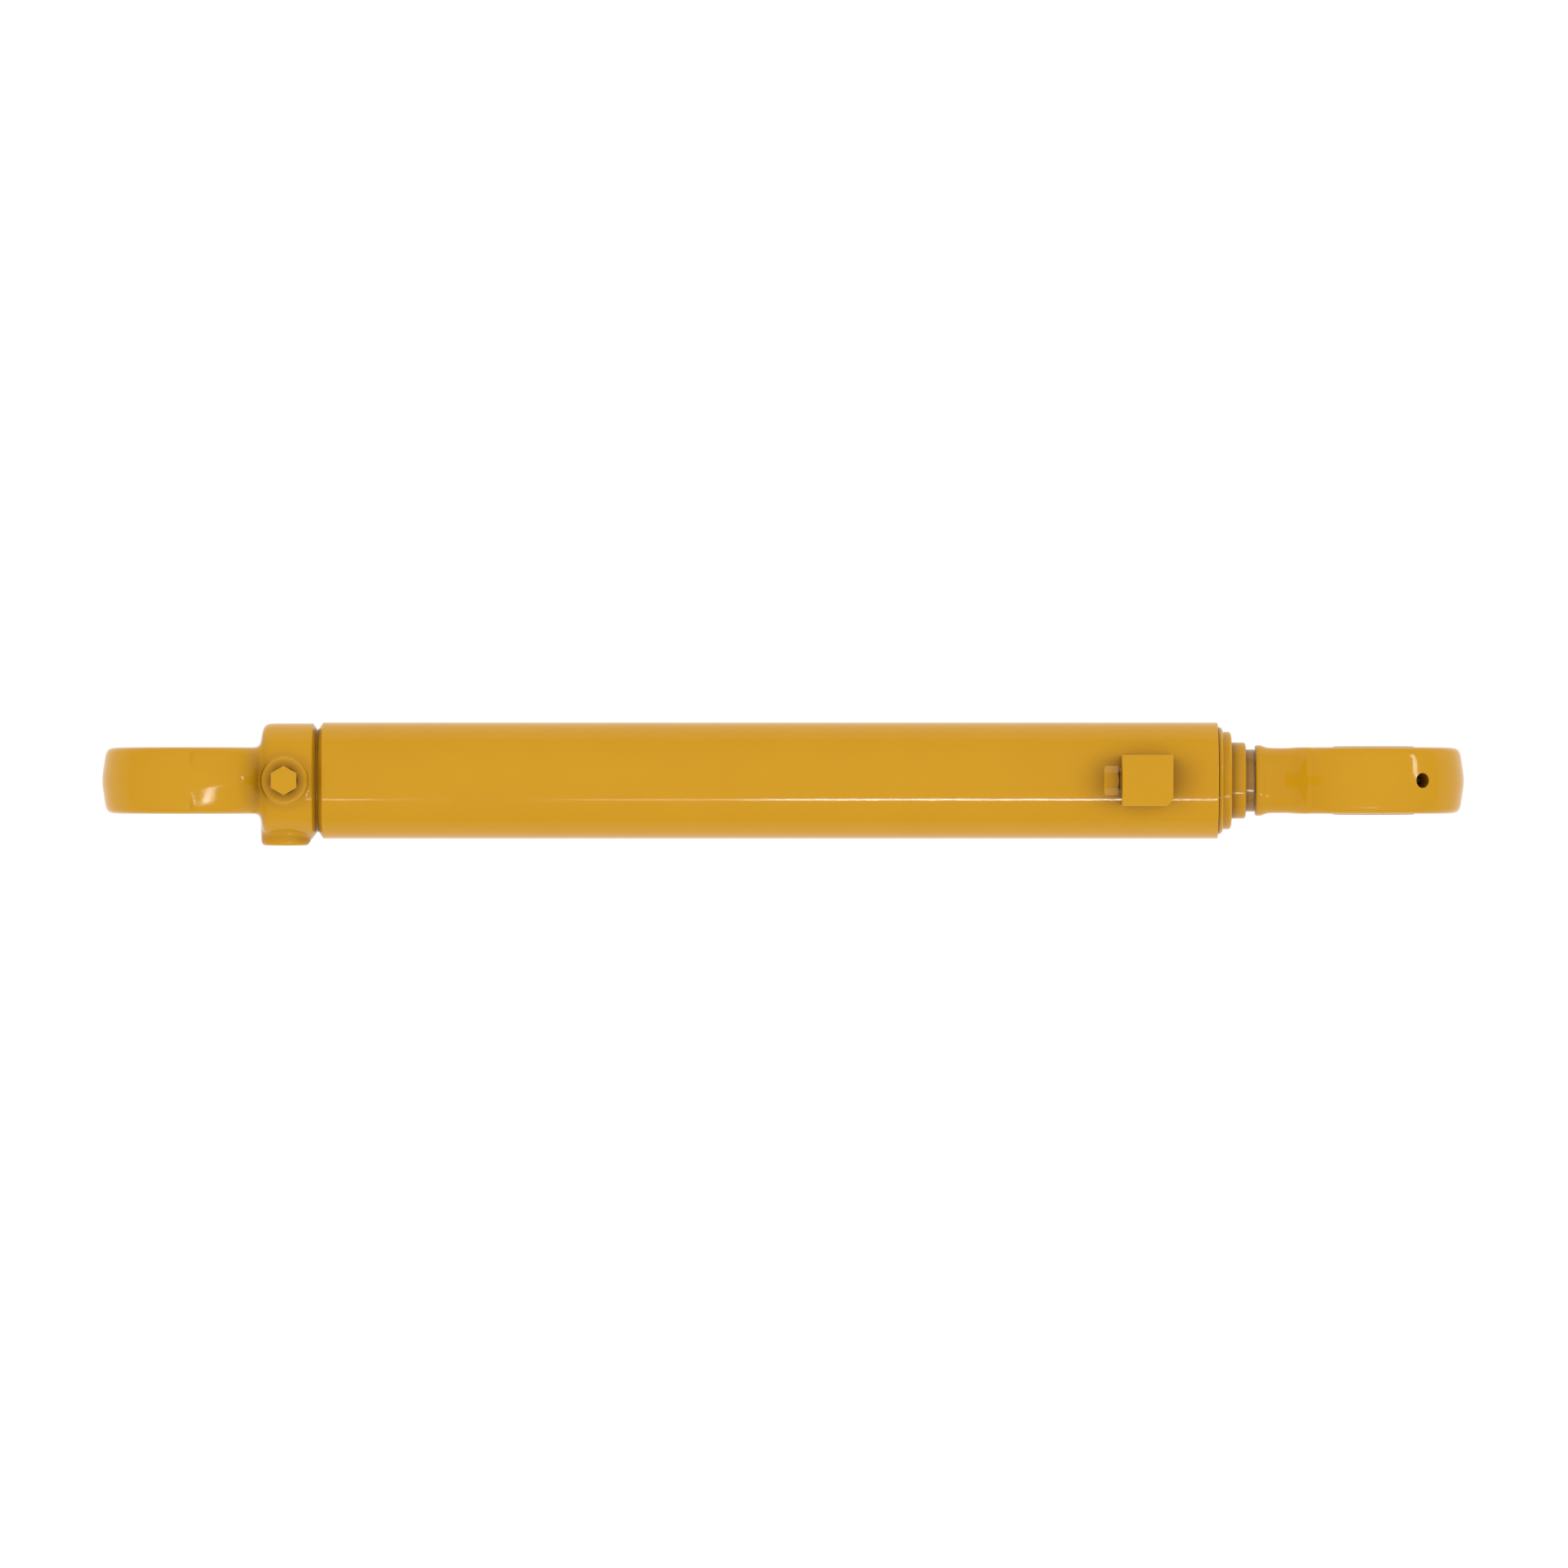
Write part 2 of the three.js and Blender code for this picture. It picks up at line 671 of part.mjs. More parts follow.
function addRodEye() {
  const { neckX, collarRadius, waistX, waistRadius, hubRadius, hubRise } = rodEye;
  const neckEnd = pinToPin - rodEye.buried;
  const neck = turned([
    [neckX, 0],
    [neckX, collarRadius - 0.5],
    [neckX + 0.5, collarRadius],
    [neckX + 3.9, collarRadius],
    [neckX + 8.5, waistRadius + 0.8],
    [waistX, waistRadius],
    [waistX + 14, waistRadius + 0.2],
    [waistX + 25, eye.halfWidth - 0.05],
    [neckEnd, eye.halfWidth - 0.05],
    [neckEnd, 0],
  ], 'x', roundSides);
  const place = (solid) => solid
    .rotate([0, THREE.MathUtils.radToDeg(rodEye.greaseAngle), 0])
    .translate([pinToPin, 0, 0]);
  const pocketFloor = eye.radius - rodEye.greasePocketDepth;
  const holeFloor = pocketFloor - rodEye.fittingHoleDepth;
  const greaseWay = turned([
    [eye.bushRadius - 1, 0],
    [eye.bushRadius - 1, rodEye.greaseWayRadius],
    [holeFloor, rodEye.greaseWayRadius],
    [holeFloor, rodEye.fittingHoleRadius],
    [pocketFloor, rodEye.fittingHoleRadius],
    [pocketFloor, rodEye.greasePocketRadius],
    [eye.radius + 4, rodEye.greasePocketRadius],
    [eye.radius + 4, 0],
  ], 'z', smallSides);
  const body = eyeRing(eye.draft, hubRadius, hubRise)
    .translate([pinToPin, 0, 0])
    .add(neck)
    .add(flaredNeck())
    .subtract(place(greaseWay));
  addPiece('rod_eye', body, 'paint');
  const fitting = turned([
    [pocketFloor - 10, 0],
    [pocketFloor - 10, 3],
    [pocketFloor + gap, 3],
    [pocketFloor + gap, 4.6],
    [pocketFloor + 3.6, 4.6],
    [pocketFloor + 3.6, 2.4],
    [pocketFloor + 5.6, 2.4],
    [pocketFloor + 6.6, 3.2],
    [pocketFloor + 8.4, 1.8],
    [pocketFloor + 8.4, 0],
  ], 'z', smallSides);
  addPiece('rod_eye_grease_fitting', place(fitting), 'steel');
  addEyeFittings('rod_eye', pinToPin);
}

addBaseEnd();
addTube();
addPortBlock();
addGland();
addGlandSeals();
addPiston();
addPistonRings();
addRod();
addRodEye();

// The origin is under the middle of the whole object, where the eyes' rims stand.
assembly.position.set(-pinToPin / 2, (boss.height - tubeRadius) / 2, eye.radius);

const cylinder = new THREE.Group();
cylinder.add(assembly);

export default cylinder;
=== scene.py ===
import math

import bmesh
import bpy
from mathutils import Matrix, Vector


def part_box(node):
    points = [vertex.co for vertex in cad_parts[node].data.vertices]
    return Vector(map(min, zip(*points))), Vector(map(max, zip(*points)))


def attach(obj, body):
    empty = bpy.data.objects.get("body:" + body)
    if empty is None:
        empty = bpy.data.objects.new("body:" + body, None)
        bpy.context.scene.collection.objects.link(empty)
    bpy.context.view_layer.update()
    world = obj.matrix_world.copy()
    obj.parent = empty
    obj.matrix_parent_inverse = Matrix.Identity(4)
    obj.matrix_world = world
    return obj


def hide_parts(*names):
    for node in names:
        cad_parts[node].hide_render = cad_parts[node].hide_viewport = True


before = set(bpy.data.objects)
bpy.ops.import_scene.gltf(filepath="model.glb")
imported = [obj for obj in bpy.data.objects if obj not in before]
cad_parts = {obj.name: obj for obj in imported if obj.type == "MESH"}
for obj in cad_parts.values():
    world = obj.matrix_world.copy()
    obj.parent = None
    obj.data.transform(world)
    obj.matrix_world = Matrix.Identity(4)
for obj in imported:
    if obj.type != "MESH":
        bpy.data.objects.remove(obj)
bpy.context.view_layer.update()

mm = 0.001

# places that everything else is measured from
tubeLow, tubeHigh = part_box("barrel_tube")
axisY = (tubeLow.y + tubeHigh.y) / 2
axisZ = (tubeLow.z + tubeHigh.z) / 2
baseEyeX = sum(corner.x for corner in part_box("base_eye_bushing")) / 2
rodEyeX = sum(corner.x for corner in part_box("rod_eye_bushing")) / 2
print("frame loaded, pin to pin", round((rodEyeX - baseEyeX) / mm, 1), "mm")


cameraSettings = {
    "frameWidth": 1255.8 * mm,      # how much of the object plane the picture spans
    "distance": 11.4,               # far away, so that both ends are seen almost square on
    "lookX": 0.75 * mm,             # the view's centre beside the object's middle
    "sensorWidth": 36,              # millimetres; the lens is worked out from it
}


def addCamera():
    camera = bpy.data.objects.new("camera", bpy.data.cameras.new("camera"))
    bpy.context.scene.collection.objects.link(camera)
    bpy.context.scene.camera = camera
    s = cameraSettings
    camera.data.sensor_width = s["sensorWidth"]
    camera.data.lens = s["sensorWidth"] * s["distance"] / s["frameWidth"]
    camera.data.clip_end = 100
    camera.location = (s["lookX"], 0, axisZ + s["distance"])


addCamera()
print("camera placed")


def linear(hexColour):
    parts = [int(hexColour[i:i + 2], 16) / 255 for i in (1, 3, 5)]
    return tuple(p / 12.92 if p <= 0.04045 else ((p + 0.055) / 1.055) ** 2.4 for p in parts) + (1.0,)


def addNode(tree, kind, settings=None, links=None):
    node = tree.nodes.new(kind)
    for name, value in (settings or {}).items():
        setattr(node, name, value)
    for socket, value in (links or {}).items():
        if isinstance(value, bpy.types.NodeSocket):
            tree.links.new(value, node.inputs[socket])
        else:
            node.inputs[socket].default_value = value
    return node


def newMaterial(name):
    material = bpy.data.materials.new(name)
    material.use_nodes = True
    tree = material.node_tree
    tree.nodes.clear()
    shader = addNode(tree, "ShaderNodeBsdfPrincipled")
    addNode(tree, "ShaderNodeOutputMaterial", links={"Surface": shader.outputs[0]})
    place = addNode(tree, "ShaderNodeTexCoord").outputs["Object"]
    return material, tree, shader, place


def paintedShadeIn(tree, colour, shadeColour, reach, strength):
    # painted shade: the colour is darkened towards a shade colour where walls stand close, as ambient
    # occlusion measures it
    openness = addNode(tree, "ShaderNodeAmbientOcclusion", {"samples": 6}, {"Distance": reach})
    amount = addNode(tree, "ShaderNodeMapRange", links={
        "Value": openness.outputs["AO"], "From Min": 0.28, "From Max": 0.99,
        "To Min": strength, "To Max": 0.0})
    return addNode(tree, "ShaderNodeMix", {"data_type": "RGBA"}, {
        0: amount.outputs[0], 6: colour, 7: linear(shadeColour)}).outputs[2]


enamelSettings = {
    "colour": "#d59c18",
    "thinColour": "#cf9410",
    "dustColour": "#d6a032",
    # painted shade: the dark colour that sheltered corners are mixed towards
    "shadeColour": "#7c5006",
    "shadeReach": 28 * mm,             # how near a wall has to be for the painted shade to darken the colour
    "filmIor": 1.27,
    "roughness": 0.08,
    "cloudSize": 60 * mm,           # patches where the film is a little thinner
    "dustSize": 5 * mm,
    "peelSize": 2.2 * mm,
    "peelHeight": 0.012 * mm,
    "castSize": 1.6 * mm,
    "castHeight": 0.05 * mm,
}


def enamel(name, castStrength, shadeStrength):
    # glossy alkyd machine enamel, sprayed: a warm yellow-orange film with sharp highlights and a faint orange
    # peel, lying over a shot-blasted forging where castStrength is above zero; shade is painted into its
    # colour in corners and recesses, as strongly as the last argument says
    s = enamelSettings
    material, tree, shader, place = newMaterial(name)
    cloudy = addNode(tree, "ShaderNodeTexNoise", links={
        "Vector": place, "Scale": 1 / s["cloudSize"], "Detail": 3.0})
    fine = addNode(tree, "ShaderNodeTexNoise", links={
        "Vector": place, "Scale": 1 / s["dustSize"], "Detail": 5.0})
    spread = addNode(tree, "ShaderNodeMapRange", links={
        "Value": cloudy.outputs[0], "From Min": 0.35, "From Max": 0.7, "To Min": 0.0, "To Max": 0.35})
    tint = addNode(tree, "ShaderNodeMix", {"data_type": "RGBA"}, {
        0: spread.outputs[0], 6: linear(s["colour"]), 7: linear(s["thinColour"])})
    dust = addNode(tree, "ShaderNodeMapRange", links={
        "Value": fine.outputs[0], "From Min": 0.5, "From Max": 0.8, "To Min": 0.0, "To Max": 0.12})
    dusty = addNode(tree, "ShaderNodeMix", {"data_type": "RGBA"}, {
        0: dust.outputs[0], 6: tint.outputs[2], 7: linear(s["dustColour"])})
    # painted shade: corners and recesses are darkened in the base colour
    colour = paintedShadeIn(tree, dusty.outputs[2], s["shadeColour"], s["shadeReach"], shadeStrength)
    tree.links.new(colour, shader.inputs["Base Color"])
    shader.inputs["IOR"].default_value = s["filmIor"]
    gloss = addNode(tree, "ShaderNodeMapRange", links={
        "Value": fine.outputs[0], "From Min": 0.3, "From Max": 0.75,
        "To Min": s["roughness"] - 0.03, "To Max": s["roughness"] + 0.05})
    tree.links.new(gloss.outputs[0], shader.inputs["Roughness"])
    peel = addNode(tree, "ShaderNodeTexNoise", links={
        "Vector": place, "Scale": 1 / s["peelSize"], "Detail": 1.0})
    bump = addNode(tree, "ShaderNodeBump", links={
        "Height": peel.outputs[0], "Strength": 0.5, "Distance": s["peelHeight"]})
    if castStrength > 0:
        cast = addNode(tree, "ShaderNodeTexNoise", links={
            "Vector": place, "Scale": 1 / s["castSize"], "Detail": 4.0})
        bump = addNode(tree, "ShaderNodeBump", links={
            "Height": cast.outputs[0], "Strength": castStrength, "Distance": s["castHeight"],
            "Normal": bump.outputs[0]})
    tree.links.new(bump.outputs[0], shader.inputs["Normal"])
    return material


# last number: how strong the painted shade in corners is
tubeEnamel = enamel("enamel_on_drawn_tube", 0.0, 0.75)
forgedEnamel = enamel("enamel_on_forged_steel", 0.35, 1.0)
machinedEnamel = enamel("enamel_on_machined_steel", 0.0, 1.0)

chromeSettings = {
    "colour": "#c9cdd0",
    # painted shade: the stub's enamel is given darker than the rest of the paint, for the shade in its recess
    "shadedStubColour": "#b98218",
    "roughness": 0.12,
    "grindSpacing": 0.25 * mm,
    "edgeSize": 3 * mm,             # the paint's edge wanders by a little over this length
    "edgeWander": 0.6 * mm,
    "edgeFade": 0.3 * mm,
    "lineHeight": 0.004 * mm,
}


def hardChrome():
    # ground and polished hard chrome: a cool mirror with very fine lines round the rod, and the machine's
    # enamel over the short stub that stays outside when the rod is in, that enamel darkened by painted shade
    s = chromeSettings
    material, tree, shader, place = newMaterial("hard_chrome_with_painted_stub")
    split = addNode(tree, "ShaderNodeSeparateXYZ", links={0: place})
    lines = addNode(tree, "ShaderNodeTexNoise", {"noise_dimensions": "1D"}, {
        "W": split.outputs["X"], "Scale": 1 / s["grindSpacing"], "Detail": 2.0})
    ragged = addNode(tree, "ShaderNodeTexNoise", links={
        "Vector": place, "Scale": 1 / s["edgeSize"], "Detail": 3.0})
    edge = addNode(tree, "ShaderNodeMath", {"operation": "MULTIPLY_ADD"}, {
        0: ragged.outputs[0], 1: s["edgeWander"], 2: split.outputs["X"]})
    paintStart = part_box("rod_wiper")[1].x           # the wiper keeps paint off the rest of the rod
    painted = addNode(tree, "ShaderNodeMapRange", links={
        "Value": edge.outputs[0], "From Min": paintStart, "From Max": paintStart + s["edgeFade"]})
    paint = enamelSettings
    # painted shade: the stub's darker enamel, darkened further where the gland and the eye stand close
    film = paintedShadeIn(tree, linear(s["shadedStubColour"]), paint["shadeColour"], paint["shadeReach"], 1.0)
    colour = addNode(tree, "ShaderNodeMix", {"data_type": "RGBA"}, {
        0: painted.outputs[0], 6: linear(s["colour"]), 7: film})
    tree.links.new(colour.outputs[2], shader.inputs["Base Color"])
    metal = addNode(tree, "ShaderNodeMath", {"operation": "SUBTRACT"}, {0: 1.0, 1: painted.outputs[0]})
    tree.links.new(metal.outputs[0], shader.inputs["Metallic"])
    rough = addNode(tree, "ShaderNodeMapRange", links={
        "Value": lines.outputs[0], "From Min": 0.2, "From Max": 0.8,
        "To Min": s["roughness"] - 0.04, "To Max": s["roughness"] + 0.06})
    tree.links.new(rough.outputs[0], shader.inputs["Roughness"])
    bump = addNode(tree, "ShaderNodeBump", links={
        "Height": lines.outputs[0], "Strength": 0.2, "Distance": s["lineHeight"]})
    tree.links.new(bump.outputs[0], shader.inputs["Normal"])
    return material


turnedSettings = {"feedSpacing": 0.4 * mm, "feedHeight": 0.02 * mm, "stainSize": 9 * mm}


def turnedMetal(name, colour, darkColour, roughness, alongAxis):
    # metal off the lathe: fine feed lines round the piece, and a faint darker stain
    s = turnedSettings
    material, tree, shader, place = newMaterial(name)
    split = addNode(tree, "ShaderNodeSeparateXYZ", links={0: place})
    feed = addNode(tree, "ShaderNodeTexNoise", {"noise_dimensions": "1D"}, {
        "W": split.outputs[alongAxis], "Scale": 1 / s["feedSpacing"], "Detail": 2.0})
    stain = addNode(tree, "ShaderNodeTexNoise", links={
        "Vector": place, "Scale": 1 / s["stainSize"], "Detail": 4.0})
    tint = addNode(tree, "ShaderNodeMix", {"data_type": "RGBA"}, {
        0: stain.outputs[0], 6: linear(colour), 7: linear(darkColour)})
    tree.links.new(tint.outputs[2], shader.inputs["Base Color"])
    shader.inputs["Metallic"].default_value = 1.0
    rough = addNode(tree, "ShaderNodeMapRange", links={
        "Value": feed.outputs[0], "From Min": 0.2, "From Max": 0.8,
        "To Min": roughness - 0.06, "To Max": roughness + 0.1})
    tree.links.new(rough.outputs[0], shader.inputs["Roughness"])
    bump = addNode(tree, "ShaderNodeBump", links={
        "Height": feed.outputs[0], "Strength": 0.4, "Distance": s["feedHeight"]})
    tree.links.new(bump.outputs[0], shader.inputs["Normal"])
    return material


polymerSettings = {"bloomSize": 6 * mm, "grainHeight": 0.03 * mm}


def mouldedPolymer(name, colour, darkColour, roughness, grain):
    # moulded or turned seal material: even and dull, with a fine grain and a slight handling bloom
    s = polymerSettings
    material, tree, shader, place = newMaterial(name)
    bloom = addNode(tree, "ShaderNodeTexNoise", links={
        "Vector": place, "Scale": 1 / s["bloomSize"], "Detail": 4.0})
    tint = addNode(tree, "ShaderNodeMix", {"data_type": "RGBA"}, {
        0: bloom.outputs[0], 6: linear(colour), 7: linear(darkColour)})
    tree.links.new(tint.outputs[2], shader.inputs["Base Color"])
    rough = addNode(tree, "ShaderNodeMapRange", links={
        "Value": bloom.outputs[0], "To Min": roughness - 0.06, "To Max": roughness + 0.08})
    tree.links.new(rough.outputs[0], shader.inputs["Roughness"])
    fine = addNode(tree, "ShaderNodeTexNoise", links={"Vector": place, "Scale": 1 / grain, "Detail": 3.0})
    bump = addNode(tree, "ShaderNodeBump", links={
        "Height": fine.outputs[0], "Strength": 0.3, "Distance": s["grainHeight"]})
    tree.links.new(bump.outputs[0], shader.inputs["Normal"])
    return material


chromeMaterial = hardChrome()
steelAlongX = turnedMetal("turned_carbon_steel", "#8f9194", "#6f7174", 0.32, "X")
phosphatedSteel = turnedMetal("oiled_phosphated_steel", "#35322d", "#26241f", 0.45, "Z")
bronzeAlongY = turnedMetal("turned_tin_bronze", "#b08a4a", "#8d6a35", 0.3, "Y")
coatedNitrile = enamel("enamel_over_nitrile_rubber", 0.0, 1.0)
nitrile = mouldedPolymer("moulded_nitrile_rubber", "#17181a", "#222325", 0.62, 0.4 * mm)
polyurethane = mouldedPolymer("cast_polyurethane", "#24406e", "#1d3358", 0.42, 0.5 * mm)
phenolic = mouldedPolymer("cotton_phenolic", "#7a5230", "#5b3b22", 0.6, 0.5 * mm)
filledPtfe = mouldedPolymer("bronze_filled_ptfe", "#5c5a4c", "#4a4a41", 0.5, 0.6 * mm)
print("materials made")


def linkMesh(name, mesh):
    piece = bpy.data.objects.new(name, mesh)
    bpy.context.scene.collection.objects.link(piece)
    return piece


def finishPiece(piece, body, nodes, material, sharpAngle=30):
    mesh = piece.data
    mesh.materials.clear()
    mesh.materials.append(material)
    mesh.polygons.foreach_set("use_smooth", [True] * len(mesh.polygons))
    mesh.set_sharp_from_angle(angle=math.radians(sharpAngle))
    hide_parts(*nodes)
    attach(piece, body)


def readProfile(node, along):
    # a turned CAD piece cut by the half-plane under its axis: (distance along, radius) points in order
    low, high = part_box(node)
    middle = (low + high) / 2
    across = "y" if along == "x" else "x"
    cut = bmesh.new()
    cut.from_mesh(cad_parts[node].data)
    bmesh.ops.remove_doubles(cut, verts=cut.verts, dist=0.004 * mm)
    near = 0.005 * mm
    inPlane = {v for v in cut.verts
               if abs(getattr(v.co, across) - getattr(middle, across)) < near and v.co.z < middle.z + near}
    links = {v: [e.other_vert(v) for e in v.link_edges if e.other_vert(v) in inPlane] for v in inPlane}
    ends = [v for v in inPlane if len(links[v]) == 1]
    here = min(ends or inPlane, key=lambda v: (getattr(v.co, along), v.co.z))
    path, before = [], None
    while here is not None and here not in path:
        path.append(here)
        onward = [v for v in links[here] if v is not before and v not in path]
        before, here = here, (onward[0] if onward else None)
    points = [(getattr(v.co, along), max(middle.z - v.co.z, 0.0)) for v in path]
    cut.free()
    return points, middle, not ends


def easeCorners(points, radius, closed):
    # breaks each corner with a small two-facet round, as a deburring tool leaves it; a long straight
    # run gets an extra point near each end, so that its shading stays true right up to the corner
    eased = []
    count = len(points)
    hold = 3 * radius
    for i, corner in enumerate(points):
        if not closed and i in (0, count - 1):
            eased.append(corner)
            continue
        here = Vector(corner)
        back, onward = Vector(points[i - 1]) - here, Vector(points[(i + 1) % count]) - here
        if back.length < 1e-7 or onward.length < 1e-7:
            continue
        turn = math.pi - back.angle(onward)
        if back.length > 4 * hold:
            eased.append(tuple(here + back.normalized() * hold))
        if turn < math.radians(25):
            eased.append(corner)
        else:
            reach = min(radius, 0.35 * back.length, 0.35 * onward.length)
            start, end = here + back.normalized() * reach, here + onward.normalized() * reach
            eased += [tuple(start), tuple((start + end) / 4 + here / 2), tuple(end)]
        if onward.length > 4 * hold:
            eased.append(tuple(here + onward.normalized() * hold))
    return eased


def spinProfile(name, points, middle, along, sides, closed):
    # turns (distance along, radius) points round the axis through middle
    built = bmesh.new()
    rings = []
    for distance, radius in points:
        ring = []
        for k in range(sides if radius > 1e-6 else 1):
            angle = 2 * math.pi * k / sides
            first, second = radius * math.cos(angle), radius * math.sin(angle)
            if along == "x":
                place = (distance, middle.y + first, middle.z + second)
            elif along == "y":
                place = (middle.x + first, distance, middle.z + second)
            else:
                place = (middle.x + first, middle.y + second, distance)
            ring.append(built.verts.new(place))
        rings.append(ring)
    pairs = list(zip(rings, rings[1:])) + ([(rings[-1], rings[0])] if closed else [])
    for one, two in pairs:
        for k in range(sides):
            after = k + 1
            corners = [one[k % len(one)], one[after % len(one)], two[after % len(two)], two[k % len(two)]]
            unique = list(dict.fromkeys(corners))
            if len(unique) > 2:
                built.faces.new(unique)
    bmesh.ops.recalc_face_normals(built, faces=built.faces)
    mesh = bpy.data.meshes.new(name)
    built.to_mesh(mesh)
    built.free()
    return linkMesh(name, mesh)


def respin(node, along="x", sides=160, ease=0.3 * mm):
    # a fine turned mesh with exactly the profile of the CAD node
    points, middle, closed = readProfile(node, along)
    return spinProfile(node + "_fine", easeCorners(points, ease, closed), middle, along, sides, closed)


def roundRing(node, along, sides=128, sectionSides=20):
    # an O-ring as wide and as thick as the CAD node's box
    low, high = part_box(node)
    size, middle = high - low, (low + high) / 2
    section = getattr(size, along) / 2
    outer = size["xyz".index("y" if along != "y" else "x")] / 2
    turns = [2 * math.pi * k / sectionSides for k in range(sectionSides)]
    points = [(getattr(middle, along) + section * math.cos(a), outer - section + section * math.sin(a))
              for a in turns]
    return spinProfile(node + "_fine", points, middle, along, sides, True)


def cutWith(piece, cutters, operation="DIFFERENCE"):
    # booleans, applied at once, and the cutters are thrown away
    for cutter in cutters:
        boolean = piece.modifiers.new("cut", "BOOLEAN")
        boolean.operation = operation
        boolean.solver = "MANIFOLD"
        boolean.object = cutter
        depsgraph = bpy.context.evaluated_depsgraph_get()
        mesh = bpy.data.meshes.new_from_object(piece.evaluated_get(depsgraph))
        piece.modifiers.clear()
        piece.data = mesh
        bpy.data.objects.remove(cutter)


# Forgings are made from a rule for how far each point lies outside the metal. Each step of it is
# (result, operation, operands), and x, y and z are measured from the eye's centre.
eyeRule = [
    ("across", "ABSOLUTE", "y"),
    ("overLand", "SUBTRACT", "across", "Land half width"),
    ("drafted", "MAXIMUM", "overLand", 0.0),
    ("zz", "MULTIPLY", "z", "z"),
    ("fromPinSquared", "MULTIPLY_ADD", "x", "x", "zz"),
    ("fromPin", "SQRT", "fromPinSquared"),
    ("webSideX", "DIVIDE", "x", "Draft change"),
    ("webSideCut", "MAXIMUM", "webSideX", 0.0),
    ("webSide", "MINIMUM", "webSideCut", 1.0),
    ("draft", "MULTIPLY_ADD", "webSide", "Web draft gain", "Draft"),
    ("drawnIn", "MULTIPLY_ADD", "drafted", "draft", "fromPin"),
    ("rim", "SUBTRACT", "drawnIn", "Eye radius"),
    ("side", "SUBTRACT", "across", "Eye half width"),
    ("eye", "SMOOTH_MAX", "rim", "side", "Edge ease"),
    ("fromAxisSquared", "MULTIPLY_ADD", "y", "y", "zz"),
    ("fromAxis", "SQRT", "fromAxisSquared"),
]

baseRule = eyeRule + [
    ("capSide", "SUBTRACT", "fromAxis", "Cap radius"),
    ("beforeFace", "SUBTRACT", "Cap face", "x"),
    ("outFromFace", "SUBTRACT", "fromAxis", "Cap face radius"),
    ("capFace", "MULTIPLY_ADD", "outFromFace", "Cap face slope", "beforeFace"),
    ("cap", "SMOOTH_MAX", "capSide", "capFace", "Cap ease"),
    ("bare", "SMOOTH_MIN", "eye", "cap", "Web ease"),
    # round port boss on top
    ("bossX", "SUBTRACT", "x", "Boss place"),
    ("yy", "MULTIPLY", "y", "y"),
    ("fromBossSquared", "MULTIPLY_ADD", "bossX", "bossX", "yy"),
    ("fromBoss", "SQRT", "fromBossSquared"),
    ("bossSide", "SUBTRACT", "fromBoss", "Boss radius"),
    ("bossTop", "SUBTRACT", "z", "Boss height"),
    ("bossWhole", "SMOOTH_MAX", "bossSide", "bossTop", "Boss ease"),
    ("below", "MULTIPLY", "z", -1.0),
    ("boss", "MAXIMUM", "bossWhole", "below"),
    ("withBoss", "SMOOTH_MIN", "bare", "boss", "Boss root"),
    # blank boss at the side
    ("sideX", "SUBTRACT", "x", "Side boss place"),
    ("fromSideSquared", "MULTIPLY_ADD", "sideX", "sideX", "zz"),
    ("fromSide", "SQRT", "fromSideSquared"),
    ("sideWall", "SUBTRACT", "fromSide", "Side boss radius"),
    ("outward", "MULTIPLY", "y", -1.0),
    ("sideTop", "SUBTRACT", "outward", "Boss height"),
    ("sideWhole", "SMOOTH_MAX", "sideWall", "sideTop", "Side boss ease"),
    ("sideBoss", "MAXIMUM", "sideWhole", "y"),
    ("withBosses", "SMOOTH_MIN", "withBoss", "sideBoss", "Boss root"),
    ("pastEnd", "SUBTRACT", "x", "Spigot end"),
    ("forging", "MAXIMUM", "withBosses", "pastEnd"),
]

eyeSizes = {
    "Eye radius": 72.5 * mm,
    "Eye half width": 26.65 * mm,
    "Land half width": 3.25 * mm,
    "Draft": 0.143,
    "Draft change": 3.0 * mm,
    "Web draft gain": 0.0,
    "Edge ease": 10.5 * mm,
}

baseSizes = {
    **eyeSizes,
    "Web draft gain": 0.185,
    "Cap radius": 45.9 * mm,
    "Cap face": 54.3 * mm,
    "Cap face radius": 30.2 * mm,
    "Cap face slope": 0.167,
    "Cap ease": 10.3 * mm,
    "Web ease": 7.6 * mm,
    "Boss place": 75.0 * mm,
    "Boss radius": 18.8 * mm,
    "Boss height": 52.2 * mm,
    "Boss ease": 3.0 * mm,
    "Boss root": 3.2 * mm,
    "Side boss place": 74.75 * mm,
    "Side boss radius": 19.9 * mm,
    "Side boss ease": 5.6 * mm,
    "Spigot end": 116.0 * mm,
}

